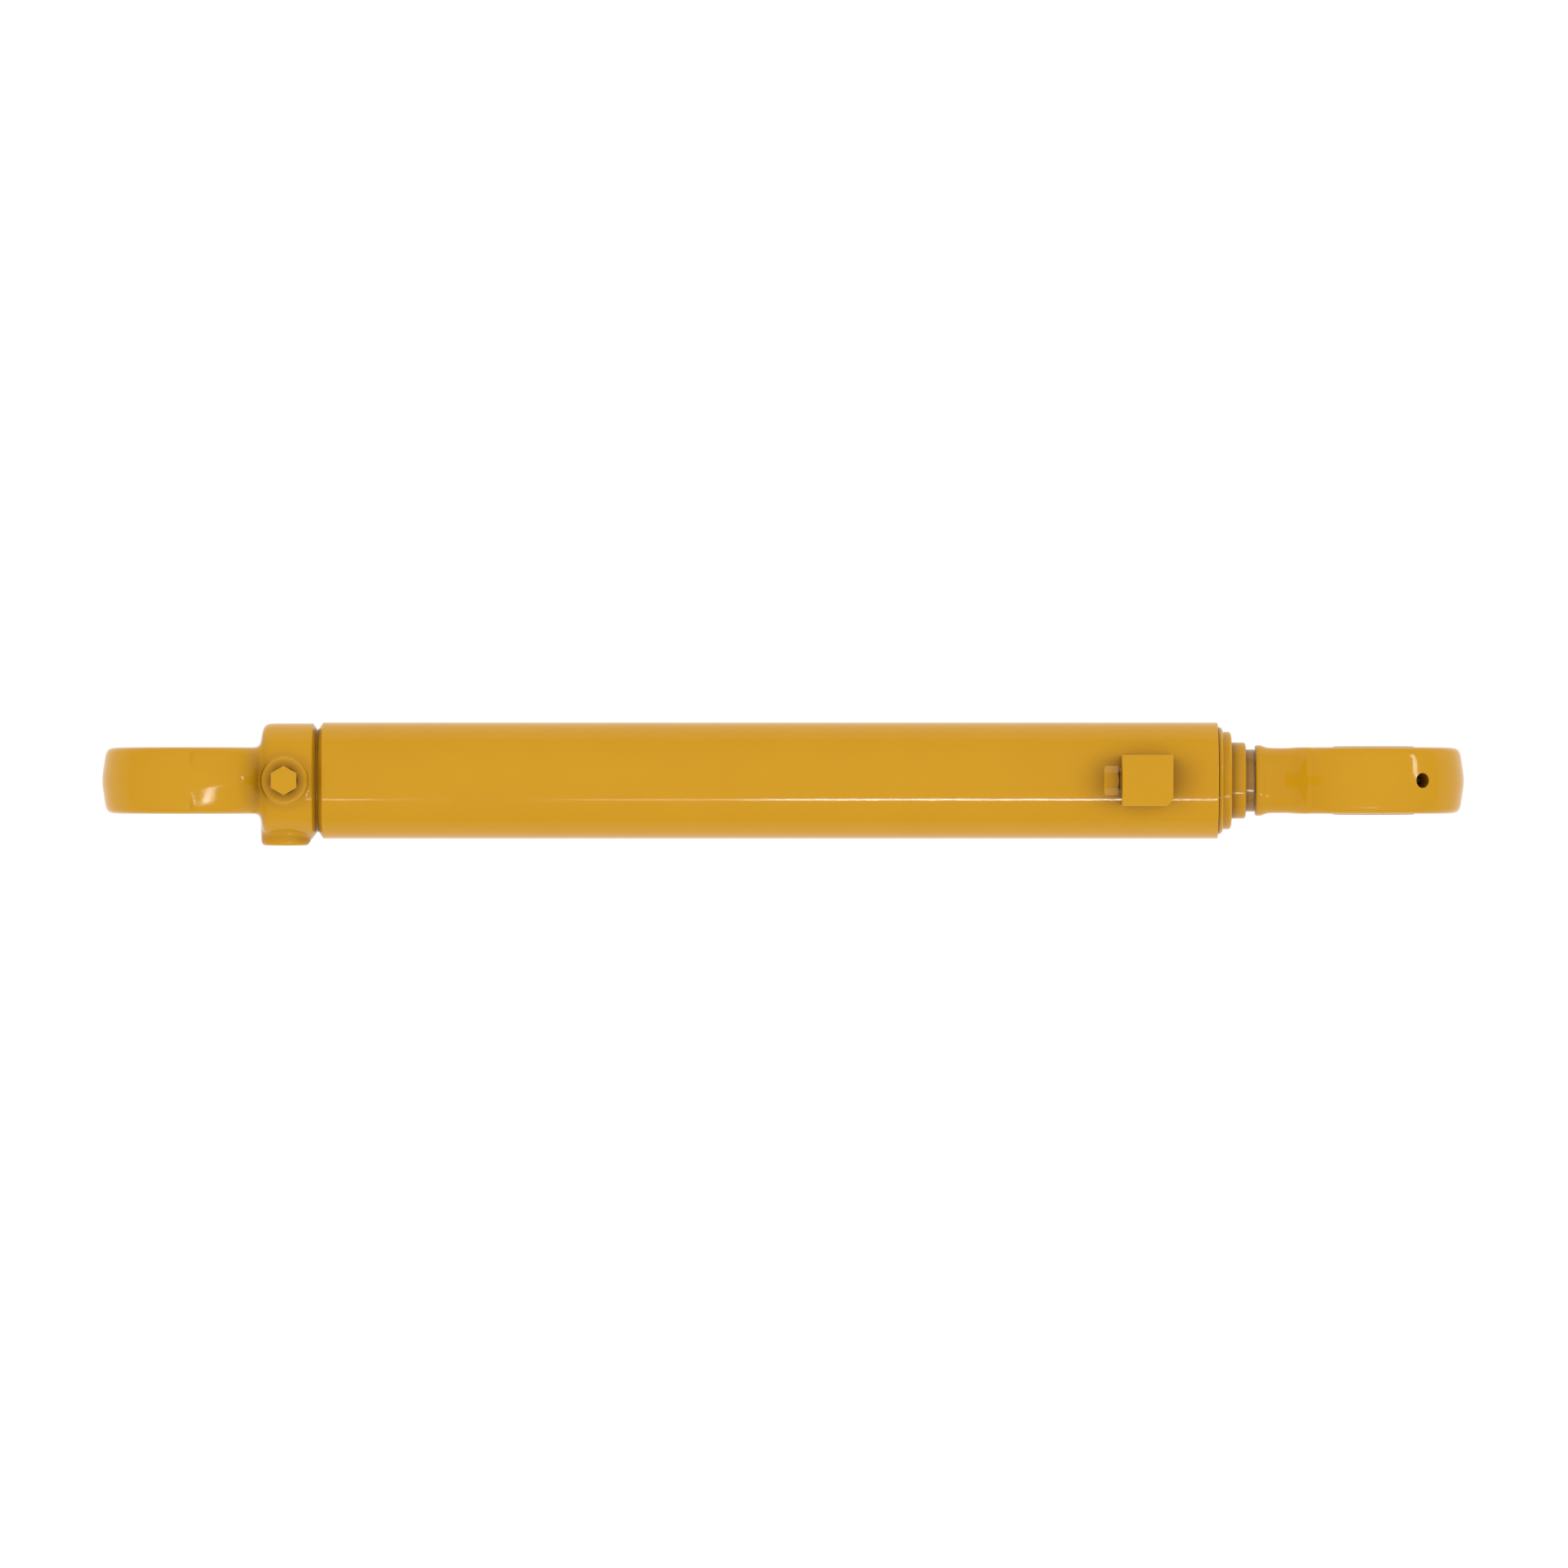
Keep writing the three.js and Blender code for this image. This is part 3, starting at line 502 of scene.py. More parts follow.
# neck: a section that goes from round at the collar to a tall rounded slab at the eye
rodRule = eyeRule + [
    ("left", "MULTIPLY", "x", -1.0),                          # distance from the eye's centre to the neck
    ("collarOut", "SUBTRACT", "left", "Collar taper start"),
    ("taper", "MULTIPLY_ADD", "collarOut", "Collar slope", "Neck waist"),
    ("fromWaist", "SUBTRACT", "left", "Waist place"),
    ("fromWaistSquared", "MULTIPLY", "fromWaist", "fromWaist"),
    ("swell", "MULTIPLY_ADD", "fromWaistSquared", "Waist curve", "Neck waist"),
    ("swelled", "MINIMUM", "swell", "Eye half width"),
    ("withTaper", "SMOOTH_MAX", "swelled", "taper", 1.5 * mm),
    ("halfWide", "MINIMUM", "withTaper", "Collar radius"),
    ("flareX", "SUBTRACT", "Flare start", "left"),
    ("flareIn", "MAXIMUM", "flareX", 0.0),
    ("flareSquared", "MULTIPLY", "flareIn", "flareIn"),
    ("flareLimit", "MULTIPLY", "Flare radius", "Flare radius"),
    ("flareRest", "SUBTRACT", "flareLimit", "flareSquared"),
    ("flareSafe", "MAXIMUM", "flareRest", 0.0),
    ("flareRoot", "SQRT", "flareSafe"),
    ("flareRise", "SUBTRACT", "Flare radius", "flareRoot"),
    ("halfHigh", "ADD", "halfWide", "flareRise"),
    ("morphX", "DIVIDE", "flareIn", "Morph length"),
    ("morph", "MINIMUM", "morphX", 1.0),
    ("cornerLoss", "MULTIPLY", "morph", "Corner change"),
    ("corner", "SUBTRACT", "halfWide", "cornerLoss"),
    ("high", "ABSOLUTE", "z"),
    ("draftShare", "MULTIPLY", "morph", "Draft"),
    ("highDrafted", "MULTIPLY_ADD", "drafted", "draftShare", "high"),
    ("coreWide", "SUBTRACT", "halfWide", "corner"),
    ("coreHigh", "SUBTRACT", "halfHigh", "corner"),
    ("overWide", "SUBTRACT", "across", "coreWide"),
    ("overHigh", "SUBTRACT", "highDrafted", "coreHigh"),
    ("outWide", "MAXIMUM", "overWide", 0.0),
    ("outHigh", "MAXIMUM", "overHigh", 0.0),
    ("outHighSquared", "MULTIPLY", "outHigh", "outHigh"),
    ("outSquared", "MULTIPLY_ADD", "outWide", "outWide", "outHighSquared"),
    ("outRoot", "SQRT", "outSquared"),
    ("inner", "MAXIMUM", "overWide", "overHigh"),
    ("innerOnly", "MINIMUM", "inner", 0.0),
    ("section", "ADD", "outRoot", "innerOnly"),
    ("neckSide", "SUBTRACT", "section", "corner"),
    ("pastCollar", "SUBTRACT", "left", "Neck length"),
    ("pastEye", "SUBTRACT", "Neck end", "left"),
    ("neckShort", "MAXIMUM", "neckSide", "pastEye"),
    ("neck", "SMOOTH_MAX", "neckShort", "pastCollar", 1.6 * mm),
    ("joined", "SMOOTH_MIN", "eye", "neck", "Neck blend"),
    ("sideLimit", "MAXIMUM", "halfWide", "Eye half width"),
    ("overLimit", "SUBTRACT", "across", "sideLimit"),
    ("forging", "MAXIMUM", "joined", "overLimit"),
]

rodSizes = {
    **eyeSizes,
    "Neck length": 95.4 * mm,
    "Neck waist": 26.0 * mm,
    "Waist place": 71.0 * mm,
    "Waist curve": 1.5,             # one over metres
    "Collar taper start": 85.4 * mm,
    "Collar slope": 0.48,
    "Collar radius": 28.4 * mm,
    "Flare start": 100.8 * mm,
    "Flare radius": 60.0 * mm,
    "Morph length": 44.0 * mm,
    "Corner change": 19.6 * mm,
    "Neck end": 54.0 * mm,
    "Neck blend": 4.0 * mm,
}


def forge(name, rule, sizes, centreX, low, high, voxel):
    # Geometry Nodes: the rule's field fills a volume, and the skin where it is zero becomes the mesh
    tree = bpy.data.node_groups.new(name, "GeometryNodeTree")
    tree.interface.new_socket("Geometry", in_out="OUTPUT", socket_type="NodeSocketGeometry")
    sockets = {}
    for size in sizes:
        sockets[size] = tree.interface.new_socket(size, in_out="INPUT", socket_type="NodeSocketFloat")
    skin = tree.interface.new_socket("Skin", in_out="INPUT", socket_type="NodeSocketMaterial")
    given = addNode(tree, "NodeGroupInput")
    position = addNode(tree, "GeometryNodeInputPosition")
    moved = addNode(tree, "ShaderNodeVectorMath", {"operation": "SUBTRACT"}, {
        0: position.outputs[0], 1: (centreX, axisY, axisZ)})
    split = addNode(tree, "ShaderNodeSeparateXYZ", links={0: moved.outputs[0]})
    values = {"x": split.outputs[0], "y": split.outputs[1], "z": split.outputs[2]}
    values.update({size: given.outputs[size] for size in sizes})
    for result, operation, *operands in rule:
        links = {i: values.get(operand, operand) for i, operand in enumerate(operands)}
        values[result] = addNode(tree, "ShaderNodeMath", {"operation": operation}, links).outputs[0]
    inside = addNode(tree, "ShaderNodeMath", {"operation": "MULTIPLY"}, {0: values["forging"], 1: -1.0})
    counts = [int((b - a) / voxel) + 1 for a, b in zip(low, high)]
    far = [a + voxel * (n - 1) for a, n in zip(low, counts)]
    volume = addNode(tree, "GeometryNodeVolumeCube", links={
        "Density": inside.outputs[0], "Background": -1.0, "Min": tuple(low), "Max": tuple(far),
        "Resolution X": counts[0], "Resolution Y": counts[1], "Resolution Z": counts[2]})
    skinMesh = addNode(tree, "GeometryNodeVolumeToMesh", links={
        "Volume": volume.outputs[0], "Threshold": 0.0})
    # a few passes of smoothing take the volume's stair steps out of the tight edges
    evened = addNode(tree, "GeometryNodeBlurAttribute", {"data_type": "FLOAT_VECTOR"}, {
        "Value": position.outputs[0], "Iterations": 4})
    smoothed = addNode(tree, "GeometryNodeSetPosition", links={
        "Geometry": skinMesh.outputs[0], "Position": evened.outputs[0]})
    real = addNode(tree, "GeometryNodeRealizeInstances", links={0: smoothed.outputs[0]})
    coated = addNode(tree, "GeometryNodeSetMaterial", links={
        "Geometry": real.outputs[0], "Material": given.outputs["Skin"]})
    addNode(tree, "NodeGroupOutput", links={0: coated.outputs[0]})
    blank = linkMesh(name + "_blank", bpy.data.meshes.new(name + "_blank"))
    modifier = blank.modifiers.new("forge", "NODES")
    modifier.node_group = tree
    for size, value in sizes.items():
        modifier[sockets[size].identifier] = value
    modifier[skin.identifier] = forgedEnamel
    depsgraph = bpy.context.evaluated_depsgraph_get()
    mesh = bpy.data.meshes.new_from_object(blank.evaluated_get(depsgraph))
    bpy.data.objects.remove(blank)
    return linkMesh(name, mesh)


boreSizes = {"fit": 0.3 * mm, "edge": 0.7 * mm, "overrun": 4 * mm}


def eyeCutters(centreX, faceHalf):
    # bore for the bush and a pocket for each dust seal, with a broken edge
    fit, edge = boreSizes["fit"], boreSizes["edge"]
    bushHalf = max(abs(corner.y - axisY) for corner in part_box("base_eye_bushing")) + fit
    bushRadius = (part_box("base_eye_bushing")[1].x - baseEyeX) + fit
    sealRadius = (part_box("base_eye_seal_left")[1].x - baseEyeX) + fit
    past = faceHalf + boreSizes["overrun"]
    half = [
        (bushHalf, bushRadius), (bushHalf, sealRadius), (faceHalf - edge, sealRadius),
        (faceHalf, sealRadius + edge), (past, sealRadius + edge),
    ]
    points = [(axisY + a, r) for a, r in half] + [(axisY + past, 0.0)]
    mirrored = [(axisY - a, r) for a, r in half] + [(axisY - past, 0.0)]
    profile = mirrored[::-1] + points
    return [spinProfile("cutter", profile, Vector((centreX, axisY, axisZ)), "y", 128, False)]


portSizes = {
    "thread": 9.3 * mm,
    "mouth": 10.6 * mm,
    "mouthDepth": 1.6 * mm,
    "depth": 20 * mm,
    "way": 5 * mm,                  # radius of the oil ways
    "fit": 0.2 * mm,                # where two oil ways meet, one is this much smaller
}

baseCuts = {
    "roomLow": (-76 * mm, -55 * mm, -76 * mm),      # the volume that holds the forging, from the pin
    "roomHigh": (120 * mm, 50 * mm, 76 * mm),
    "voxel": 1.1 * mm,
    "grooveStart": 96.5 * mm,
    "grooveRoot": 99.7 * mm,
    "rootRadius": 41.6 * mm,
    "spigotRadius": 39.6 * mm,
    "pocketFloor": 101.5 * mm,      # room for the piston's nut
    "pocketRadius": 27 * mm,
    "wayStart": 70 * mm,
    "edge": 1 * mm,
    "overrun": 6 * mm,
    "portOverrun": 3 * mm,
}


def makeBaseEnd():
    c, p = baseCuts, portSizes
    low = (baseEyeX + c["roomLow"][0], axisY + c["roomLow"][1], axisZ + c["roomLow"][2])
    high = (baseEyeX + c["roomHigh"][0], axisY + c["roomHigh"][1], axisZ + c["roomHigh"][2])
    piece = forge("base_end_forged", baseRule, baseSizes, baseEyeX, low, high, c["voxel"])
    axisPoint = Vector((0, axisY, axisZ))
    edge, spigot, rootRadius = c["edge"], c["spigotRadius"], c["rootRadius"]
    grooveX, rootX = baseEyeX + c["grooveStart"], baseEyeX + c["grooveRoot"]
    endX = baseEyeX + baseSizes["Spigot end"]
    pastX = endX + c["overrun"]
    capRadius = baseSizes["Cap radius"]
    outside = capRadius + c["overrun"]
    chamfer = (outside - capRadius) * (rootX - grooveX) / (capRadius - rootRadius)
    groove = spinProfile("cutter", [
        (grooveX - chamfer, outside), (rootX, rootRadius), (rootX, spigot), (endX - 1.5 * edge, spigot),
        (endX - 0.5 * edge, spigot - edge), (pastX, spigot - edge), (pastX, outside),
    ], axisPoint, "x", 160, True)
    pocketX, pocketRadius = baseEyeX + c["pocketFloor"], c["pocketRadius"]
    pocket = spinProfile("cutter", [
        (pocketX, 0.0), (pocketX, pocketRadius), (endX - edge, pocketRadius), (endX, pocketRadius + edge),
        (pastX, pocketRadius + edge), (pastX, 0.0),
    ], axisPoint, "x", 128, False)
    wayX = baseEyeX + c["wayStart"]
    wayIn = spinProfile("cutter", [
        (wayX, 0.0), (wayX, p["way"]), (pocketX + edge, p["way"]), (pocketX + edge, 0.0),
    ], axisPoint, "x", 48, False)
    bossTop = axisZ + baseSizes["Boss height"]
    floor, mouthFloor = bossTop - p["depth"], bossTop - p["mouthDepth"]
    pastTop = bossTop + c["portOverrun"]
    narrow = p["way"] - p["fit"]
    wayFloor = axisZ + p["fit"] - narrow            # just short of the far side of the way it meets
    port = spinProfile("cutter", [
        (wayFloor, 0.0), (wayFloor, narrow), (floor, narrow), (floor, p["thread"]),
        (mouthFloor, p["thread"]), (bossTop, p["mouth"]), (pastTop, p["mouth"]), (pastTop, 0.0),
    ], Vector((baseEyeX + baseSizes["Boss place"], axisY, 0)), "z", 64, False)
    faceHalf = eyeSizes["Eye half width"]
    cutWith(piece, eyeCutters(baseEyeX, faceHalf) + [groove, pocket, wayIn, port])
    finishPiece(piece, "barrel", ["base_end"], forgedEnamel)


greaseSizes = {
    "angle": 30.5,                  # degrees from straight up, toward the eye's far side
    "wayRadius": 1.5 * mm,
    "wayFloor": 28 * mm,            # heights are measured from the pin's centre
    "holeRadius": 3.3 * mm,
    "holeFloor": 44 * mm,
    "pocketRadius": 6 * mm,
    "pocketFloor": 56 * mm,
    "pocketTop": 78 * mm,
}


def turnAndPlace(piece):
    # lays a piece made along +Z from the pin's centre onto the grease hole's line
    angle = math.radians(greaseSizes["angle"])
    sine, cosine = math.sin(angle), math.cos(angle)
    for v in piece.data.vertices:
        x, y, z = v.co
        v.co = (rodEyeX + x * cosine + z * sine, axisY + y, axisZ - x * sine + z * cosine)


rodEyeCuts = {
    "roomLow": (-100 * mm, -32 * mm, -76 * mm),
    "roomHigh": (76 * mm, 32 * mm, 76 * mm),
    "voxel": 1.0 * mm,
    "hubRadius": 32.7 * mm,         # raised machined face
    "hubRise": 0.65 * mm,
    "hubEdge": 0.3 * mm,
}


def makeRodEye():
    c, g = rodEyeCuts, greaseSizes
    low = (rodEyeX + c["roomLow"][0], axisY + c["roomLow"][1], axisZ + c["roomLow"][2])
    high = (rodEyeX + c["roomHigh"][0], axisY + c["roomHigh"][1], axisZ + c["roomHigh"][2])
    piece = forge("rod_eye_forged", rodRule, rodSizes, rodEyeX, low, high, c["voxel"])
    faceHalf = eyeSizes["Eye half width"] + c["hubRise"]
    hub, edge = c["hubRadius"], c["hubEdge"]
    near, far = axisY - faceHalf, axisY + faceHalf
    raised = spinProfile("cutter", [
        (near, 0.0), (near, hub - edge), (near + edge, hub), (far - edge, hub), (far, hub - edge), (far, 0.0),
    ], Vector((rodEyeX, axisY, axisZ)), "y", 128, False)
    cutWith(piece, [raised], "UNION")
    grease = spinProfile("cutter", [
        (g["wayFloor"], 0.0), (g["wayFloor"], g["wayRadius"]), (g["holeFloor"], g["wayRadius"]),
        (g["holeFloor"], g["holeRadius"]), (g["pocketFloor"], g["holeRadius"]),
        (g["pocketFloor"], g["pocketRadius"]), (g["pocketTop"], g["pocketRadius"]), (g["pocketTop"], 0.0),
    ], Vector((0, 0, 0)), "z", 48, False)
    turnAndPlace(grease)
    cutWith(piece, eyeCutters(rodEyeX, faceHalf) + [grease])
    finishPiece(piece, "rod", ["rod_eye"], forgedEnamel)


makeBaseEnd()
makeRodEye()
print("forgings made")


turnedPieces = {
    # node: (body, slot, material, axis, sides)
    "barrel_tube": ("barrel", "enamel", tubeEnamel, "x", 192),
    "base_weld": ("barrel", "enamel", machinedEnamel, "x", 128),
    "gland": ("barrel", "enamel", machinedEnamel, "x", 160),
    "gland_lock_ring": ("barrel", "enamel", machinedEnamel, "x", 160),
    "piston_rod": ("rod", "hard_chrome", chromeMaterial, "x", 128),
    "piston": ("rod", "machined_steel", steelAlongX, "x", 128),
    "base_eye_bushing": ("barrel", "bearing_bronze", bronzeAlongY, "y", 128),
    "rod_eye_bushing": ("rod", "bearing_bronze", bronzeAlongY, "y", 128),
    "piston_seal_energiser": ("piston_rings", "black_rubber", nitrile, "x", 128),
    "piston_seal": ("piston_rings", "filled_ptfe", filledPtfe, "x", 128),
    "gland_backup_ring": ("barrel", "filled_ptfe", filledPtfe, "x", 128),
    "rod_buffer_seal": ("barrel", "polyurethane", polyurethane, "x", 128),
    "rod_seal": ("barrel", "polyurethane", polyurethane, "x", 128),
    "rod_wiper": ("barrel", "polyurethane", polyurethane, "x", 128),
    "rod_guide_ring_inner": ("barrel", "phenolic", phenolic, "x", 128),
    "rod_guide_ring_outer": ("barrel", "phenolic", phenolic, "x", 128),
    "piston_wear_ring_base": ("piston_rings", "phenolic", phenolic, "x", 128),
    "piston_wear_ring_rod": ("piston_rings", "phenolic", phenolic, "x", 128),
    "base_eye_seal_left": ("barrel", "polyurethane", polyurethane, "y", 128),
    "base_eye_seal_right": ("barrel", "polyurethane", polyurethane, "y", 128),
    "rod_eye_seal_left": ("rod", "polyurethane", polyurethane, "y", 128),
    "rod_eye_seal_right": ("rod", "polyurethane", polyurethane, "y", 128),
}


crossHoleSizes = {"inward": 12 * mm, "outward": 4 * mm}


def crossHole():
    # oil way through the tube's wall, under the port block
    low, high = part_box("rod_port_block")
    inside, outside = tubeHigh.z - crossHoleSizes["inward"], tubeHigh.z + crossHoleSizes["outward"]
    way = portSizes["way"]
    return spinProfile("cutter", [
        (inside, 0.0), (inside, way), (outside, way), (outside, 0.0),
    ], Vector(((low.x + high.x) / 2, axisY, 0)), "z", 48, False)


for node, (body, slotName, material, along, sides) in turnedPieces.items():
    piece = respin(node, along, sides)
    if node == "barrel_tube":
        cutWith(piece, [crossHole()])
    finishPiece(piece, body, [node], material)

oRings = {
    # node: (body, material, axis)
    "gland_o_ring": ("barrel", nitrile, "x"),
    "piston_o_ring": ("rod", nitrile, "x"),
    "base_port_o_ring": ("barrel", coatedNitrile, "z"),
    "rod_port_o_ring": ("barrel", coatedNitrile, "x"),
}
for node, (body, material, along) in oRings.items():
    finishPiece(roundRing(node, along), body, [node], material, 60)
print("turned pieces made")


hexSizes = {"endInset": 0.3 * mm, "endAngle": 30}


def hexBar(name, low, high, cornerRadius, along, middle, edge, firstCorner=90):
    # a hexagonal bar, its ends turned to a chamfer and its edges just broken; two of its corners
    # are across Y, or across Z when firstCorner is 0 and the bar lies along X
    built = bmesh.new()
    for end in (low, high):
        ring = []
        for k in range(6):
            angle = math.radians(60 * k + firstCorner)
            first, second = cornerRadius * math.cos(angle), cornerRadius * math.sin(angle)
            if along == "x":
                ring.append(built.verts.new((end, middle.y + second, middle.z + first)))
            else:
                ring.append(built.verts.new((middle.x + first, middle.y + second, end)))
        built.faces.new(ring)
    built.verts.ensure_lookup_table()
    for k in range(6):
        corners = [k, (k + 1) % 6, (k + 1) % 6 + 6, k + 6]
        built.faces.new([built.verts[i] for i in corners])
    bmesh.ops.recalc_face_normals(built, faces=built.faces)
    alongEdges = [e for e in built.edges if abs(getattr(e.verts[0].co - e.verts[1].co, along)) > edge]
    bmesh.ops.bevel(built, geom=alongEdges, offset=edge, segments=3, affect="EDGES")
    mesh = bpy.data.meshes.new(name)
    built.to_mesh(mesh)
    built.free()
    piece = linkMesh(name, mesh)
    flat = cornerRadius * math.cos(math.pi / 6)
    reach = cornerRadius + 2 * mm
    drop = (reach - flat) * math.tan(math.radians(hexSizes["endAngle"]))
    faceRadius = flat - hexSizes["endInset"]
    envelope = spinProfile("cutter", [
        (low, 0.0), (low, faceRadius), (low + drop, reach), (high - drop, reach),
        (high, faceRadius), (high, 0.0),
    ], middle, along, 96, False)
    cutWith(piece, [envelope], "INTERSECT")
    return piece


plugSizes = {
    "neckHeight": 2.2 * mm,
    "hexHeight": 11.7 * mm,
    "neck": 8 * mm,
    "relief": 2.4 * mm,
    "thread": 9 * mm,
    "pitch": 1.5 * mm,
    "threadDepth": 0.7 * mm,
    "crestStart": 0.45,             # shares of the pitch
    "crestEnd": 0.6,
    "lead": 1.2 * mm,               # chamfer at the thread's start
    "intoHead": 1.5 * mm,
    "edge": 0.25 * mm,
}


def makePlug(node, along, outward):
    # hex head, a plain neck for the O-ring, and a shank with a ring for each turn of its thread
    s = plugSizes
    low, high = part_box(node)
    middle = (low + high) / 2
    ends = (getattr(low, along), getattr(high, along))
    tail, top = ends if outward > 0 else ends[::-1]
    face = top - outward * (s["neckHeight"] + s["hexHeight"])
    cornerRadius = (high.y - low.y) / 2
    under = face + outward * s["neckHeight"]
    head = hexBar(node + "_fine", min(under, top), max(under, top), cornerRadius, along, middle, s["edge"])
    points = [(tail, 0.0), (tail, s["thread"] - s["lead"])]
    count = int((abs(face - tail) - s["relief"] - s["lead"]) / s["pitch"])
    start = tail + outward * s["lead"]
    for k in range(count):
        here = start + outward * k * s["pitch"]
        points += [
            (here, s["thread"] - s["threadDepth"]),
            (here + outward * s["crestStart"] * s["pitch"], s["thread"]),
            (here + outward * s["crestEnd"] * s["pitch"], s["thread"]),
        ]
    points += [
        (start + outward * count * s["pitch"], s["thread"] - s["threadDepth"]),
        (face - outward * s["relief"], s["neck"]),
        (under + outward * s["intoHead"], s["neck"]),
        (under + outward * s["intoHead"], 0.0),
    ]
    shank = spinProfile("cutter", points, middle, along, 96, False)
    cutWith(head, [shank], "UNION")
    finishPiece(head, "barrel", [node], machinedEnamel, 25)


blockSizes = {
    "edge": 0.9 * mm,
    "corner": 5.0 * mm,
    "fit": 0.3 * mm,                # between saddle and tube
    "bottom": 0.7,                  # share of the tube's radius, low enough for the saddle
    "wayFoot": 35 * mm,             # above the cylinder's axis, inside the tube
    "overrun": 9 * mm,
    "portOverrun": 3 * mm,
}


def makePortBlock():
    # milled block: edges broken, one upright corner cut off, saddle milled to sit on the tube
    low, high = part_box("rod_port_block")
    tubeRadius = (tubeHigh.z - tubeLow.z) / 2
    s = blockSizes
    bottom = axisZ + tubeRadius * s["bottom"]
    outline = [
        (low.x, low.y), (high.x - s["corner"], low.y), (high.x, low.y + s["corner"]),
        (high.x, high.y), (low.x, high.y),
    ]
    built = bmesh.new()
    lower = [built.verts.new((x, y, bottom)) for x, y in outline]
    upper = [built.verts.new((x, y, high.z)) for x, y in outline]
    built.faces.new(lower)
    built.faces.new(upper)
    for k in range(len(outline)):
        onward = (k + 1) % len(outline)
        built.faces.new([lower[k], lower[onward], upper[onward], upper[k]])
    bmesh.ops.recalc_face_normals(built, faces=built.faces)
    edges = [e for e in built.edges if max(v.co.z for v in e.verts) > bottom + 1 * mm]
    bmesh.ops.bevel(built, geom=edges, offset=s["edge"], segments=4, profile=0.5, affect="EDGES")
    mesh = bpy.data.meshes.new("rod_port_block_fine")
    built.to_mesh(mesh)
    built.free()
    piece = linkMesh("rod_port_block_fine", mesh)
    middleX = (low.x + high.x) / 2
    saddleRadius = tubeRadius + s["fit"]
    startX, endX = low.x - s["overrun"], high.x + s["overrun"]
    saddle = spinProfile("cutter", [
        (startX, 0.0), (startX, saddleRadius), (endX, saddleRadius), (endX, 0.0),
    ], Vector((0, axisY, axisZ)), "x", 192, False)
    plugLow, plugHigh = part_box("rod_port_plug")
    portZ = (plugLow.z + plugHigh.z) / 2
    p = portSizes
    outside, mouthFloor, inner = low.x - s["portOverrun"], low.x + p["mouthDepth"], low.x + p["depth"]
    wayEnd, narrow = middleX + p["way"], p["way"] - p["fit"]
    port = spinProfile("cutter", [
        (outside, 0.0), (outside, p["mouth"]), (low.x, p["mouth"]), (mouthFloor, p["thread"]),
        (inner, p["thread"]), (inner, narrow), (wayEnd, narrow), (wayEnd, 0.0),
    ], Vector((0, axisY, portZ)), "x", 64, False)
    wayFoot = axisZ + s["wayFoot"]
    down = spinProfile("cutter", [
        (wayFoot, 0.0), (wayFoot, p["way"]), (portZ, p["way"]), (portZ, 0.0),
    ], Vector((middleX, axisY, 0)), "z", 48, False)
    cutWith(piece, [saddle, port, down])
    finishPiece(piece, "barrel", ["rod_port_block"], machinedEnamel, 25)


nutSizes = {
    "bore": 16.3 * mm,
    "chamfer": 1 * mm,
    "edge": 0.3 * mm,
    "screwFit": 0.3 * mm,
    "overrun": 2 * mm,
    "screwOverrun": 5 * mm,
}


def makePistonNut():
    # hex nut: a plain bore in place of the thread, chamfered at both ends, and its set screw's hole
    s = nutSizes
    low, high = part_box("piston_nut")
    middle = (low + high) / 2
    cornerRadius = (high.z - low.z) / 2
    piece = hexBar("piston_nut_fine", low.x, high.x, cornerRadius, "x", middle, s["edge"], firstCorner=0)
    thread, chamfer = s["bore"], s["chamfer"]
    wide, startX, endX = thread + chamfer, low.x - s["overrun"], high.x + s["overrun"]
    bore = spinProfile("cutter", [
        (startX, 0.0), (startX, wide), (low.x, wide), (low.x + chamfer, thread),
        (high.x - chamfer, thread), (high.x, wide), (endX, wide), (endX, 0.0),
    ], middle, "x", 96, False)
    screwLow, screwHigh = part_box("piston_set_screw")
    radius, outside = (screwHigh.x - screwLow.x) / 2 + s["screwFit"], high.y + s["screwOverrun"]
    hole = spinProfile("cutter", [
        (middle.y, 0.0), (middle.y, radius), (outside, radius), (outside, 0.0),
    ], middle, "y", 32, False)
    cutWith(piece, [bore, hole])
    finishPiece(piece, "rod", ["piston_nut"], steelAlongX, 25)


screwSizes = {"cup": 0.4 * mm, "point": 0.5 * mm, "edge": 0.2 * mm, "socket": 1.4 * mm, "socketTip": 1.6 * mm}


def makeSetScrew():
    # cup-point screw with a drilled socket
    s = screwSizes
    low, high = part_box("piston_set_screw")
    middle = (low + high) / 2
    radius = (high.x - low.x) / 2
    half = radius * 0.5
    screw = spinProfile("piston_set_screw_fine", [
        (low.y + s["cup"], 0.0), (low.y, half), (low.y + s["point"], radius), (high.y - s["edge"], radius),
        (high.y, radius - s["edge"]), (high.y, half), (high.y - s["socket"], half),
        (high.y - s["socketTip"], 0.0),
    ], middle, "y", 48, False)
    finishPiece(screw, "rod", ["piston_set_screw"], steelAlongX)


fittingProfile = [
    # (height above the pocket's floor, radius) in millimetres
    (-10, 0), (-10, 3), (0.3, 3),                                       # shank
    (0.3, 4.4), (0.5, 4.6), (3.4, 4.6), (3.6, 4.4),                     # flange
    (3.6, 2.4), (5.4, 2.4),                                             # neck
    (6.2, 3.2), (7, 3.2), (8.4, 1.8), (8.4, 0.8), (7.6, 0),             # head and ball seat
]


def makeGreaseFitting():
    # nipple at the bottom of its pocket: shank, round flange, neck and a head with a ball seat
    floor = greaseSizes["pocketFloor"]
    outline = [(floor + height * mm, radius * mm) for height, radius in fittingProfile]
    fitting = spinProfile("rod_eye_grease_fitting_fine", outline, Vector((0, 0, 0)), "z", 64, False)
    turnAndPlace(fitting)
    finishPiece(fitting, "rod", ["rod_eye_grease_fitting"], phosphatedSteel)


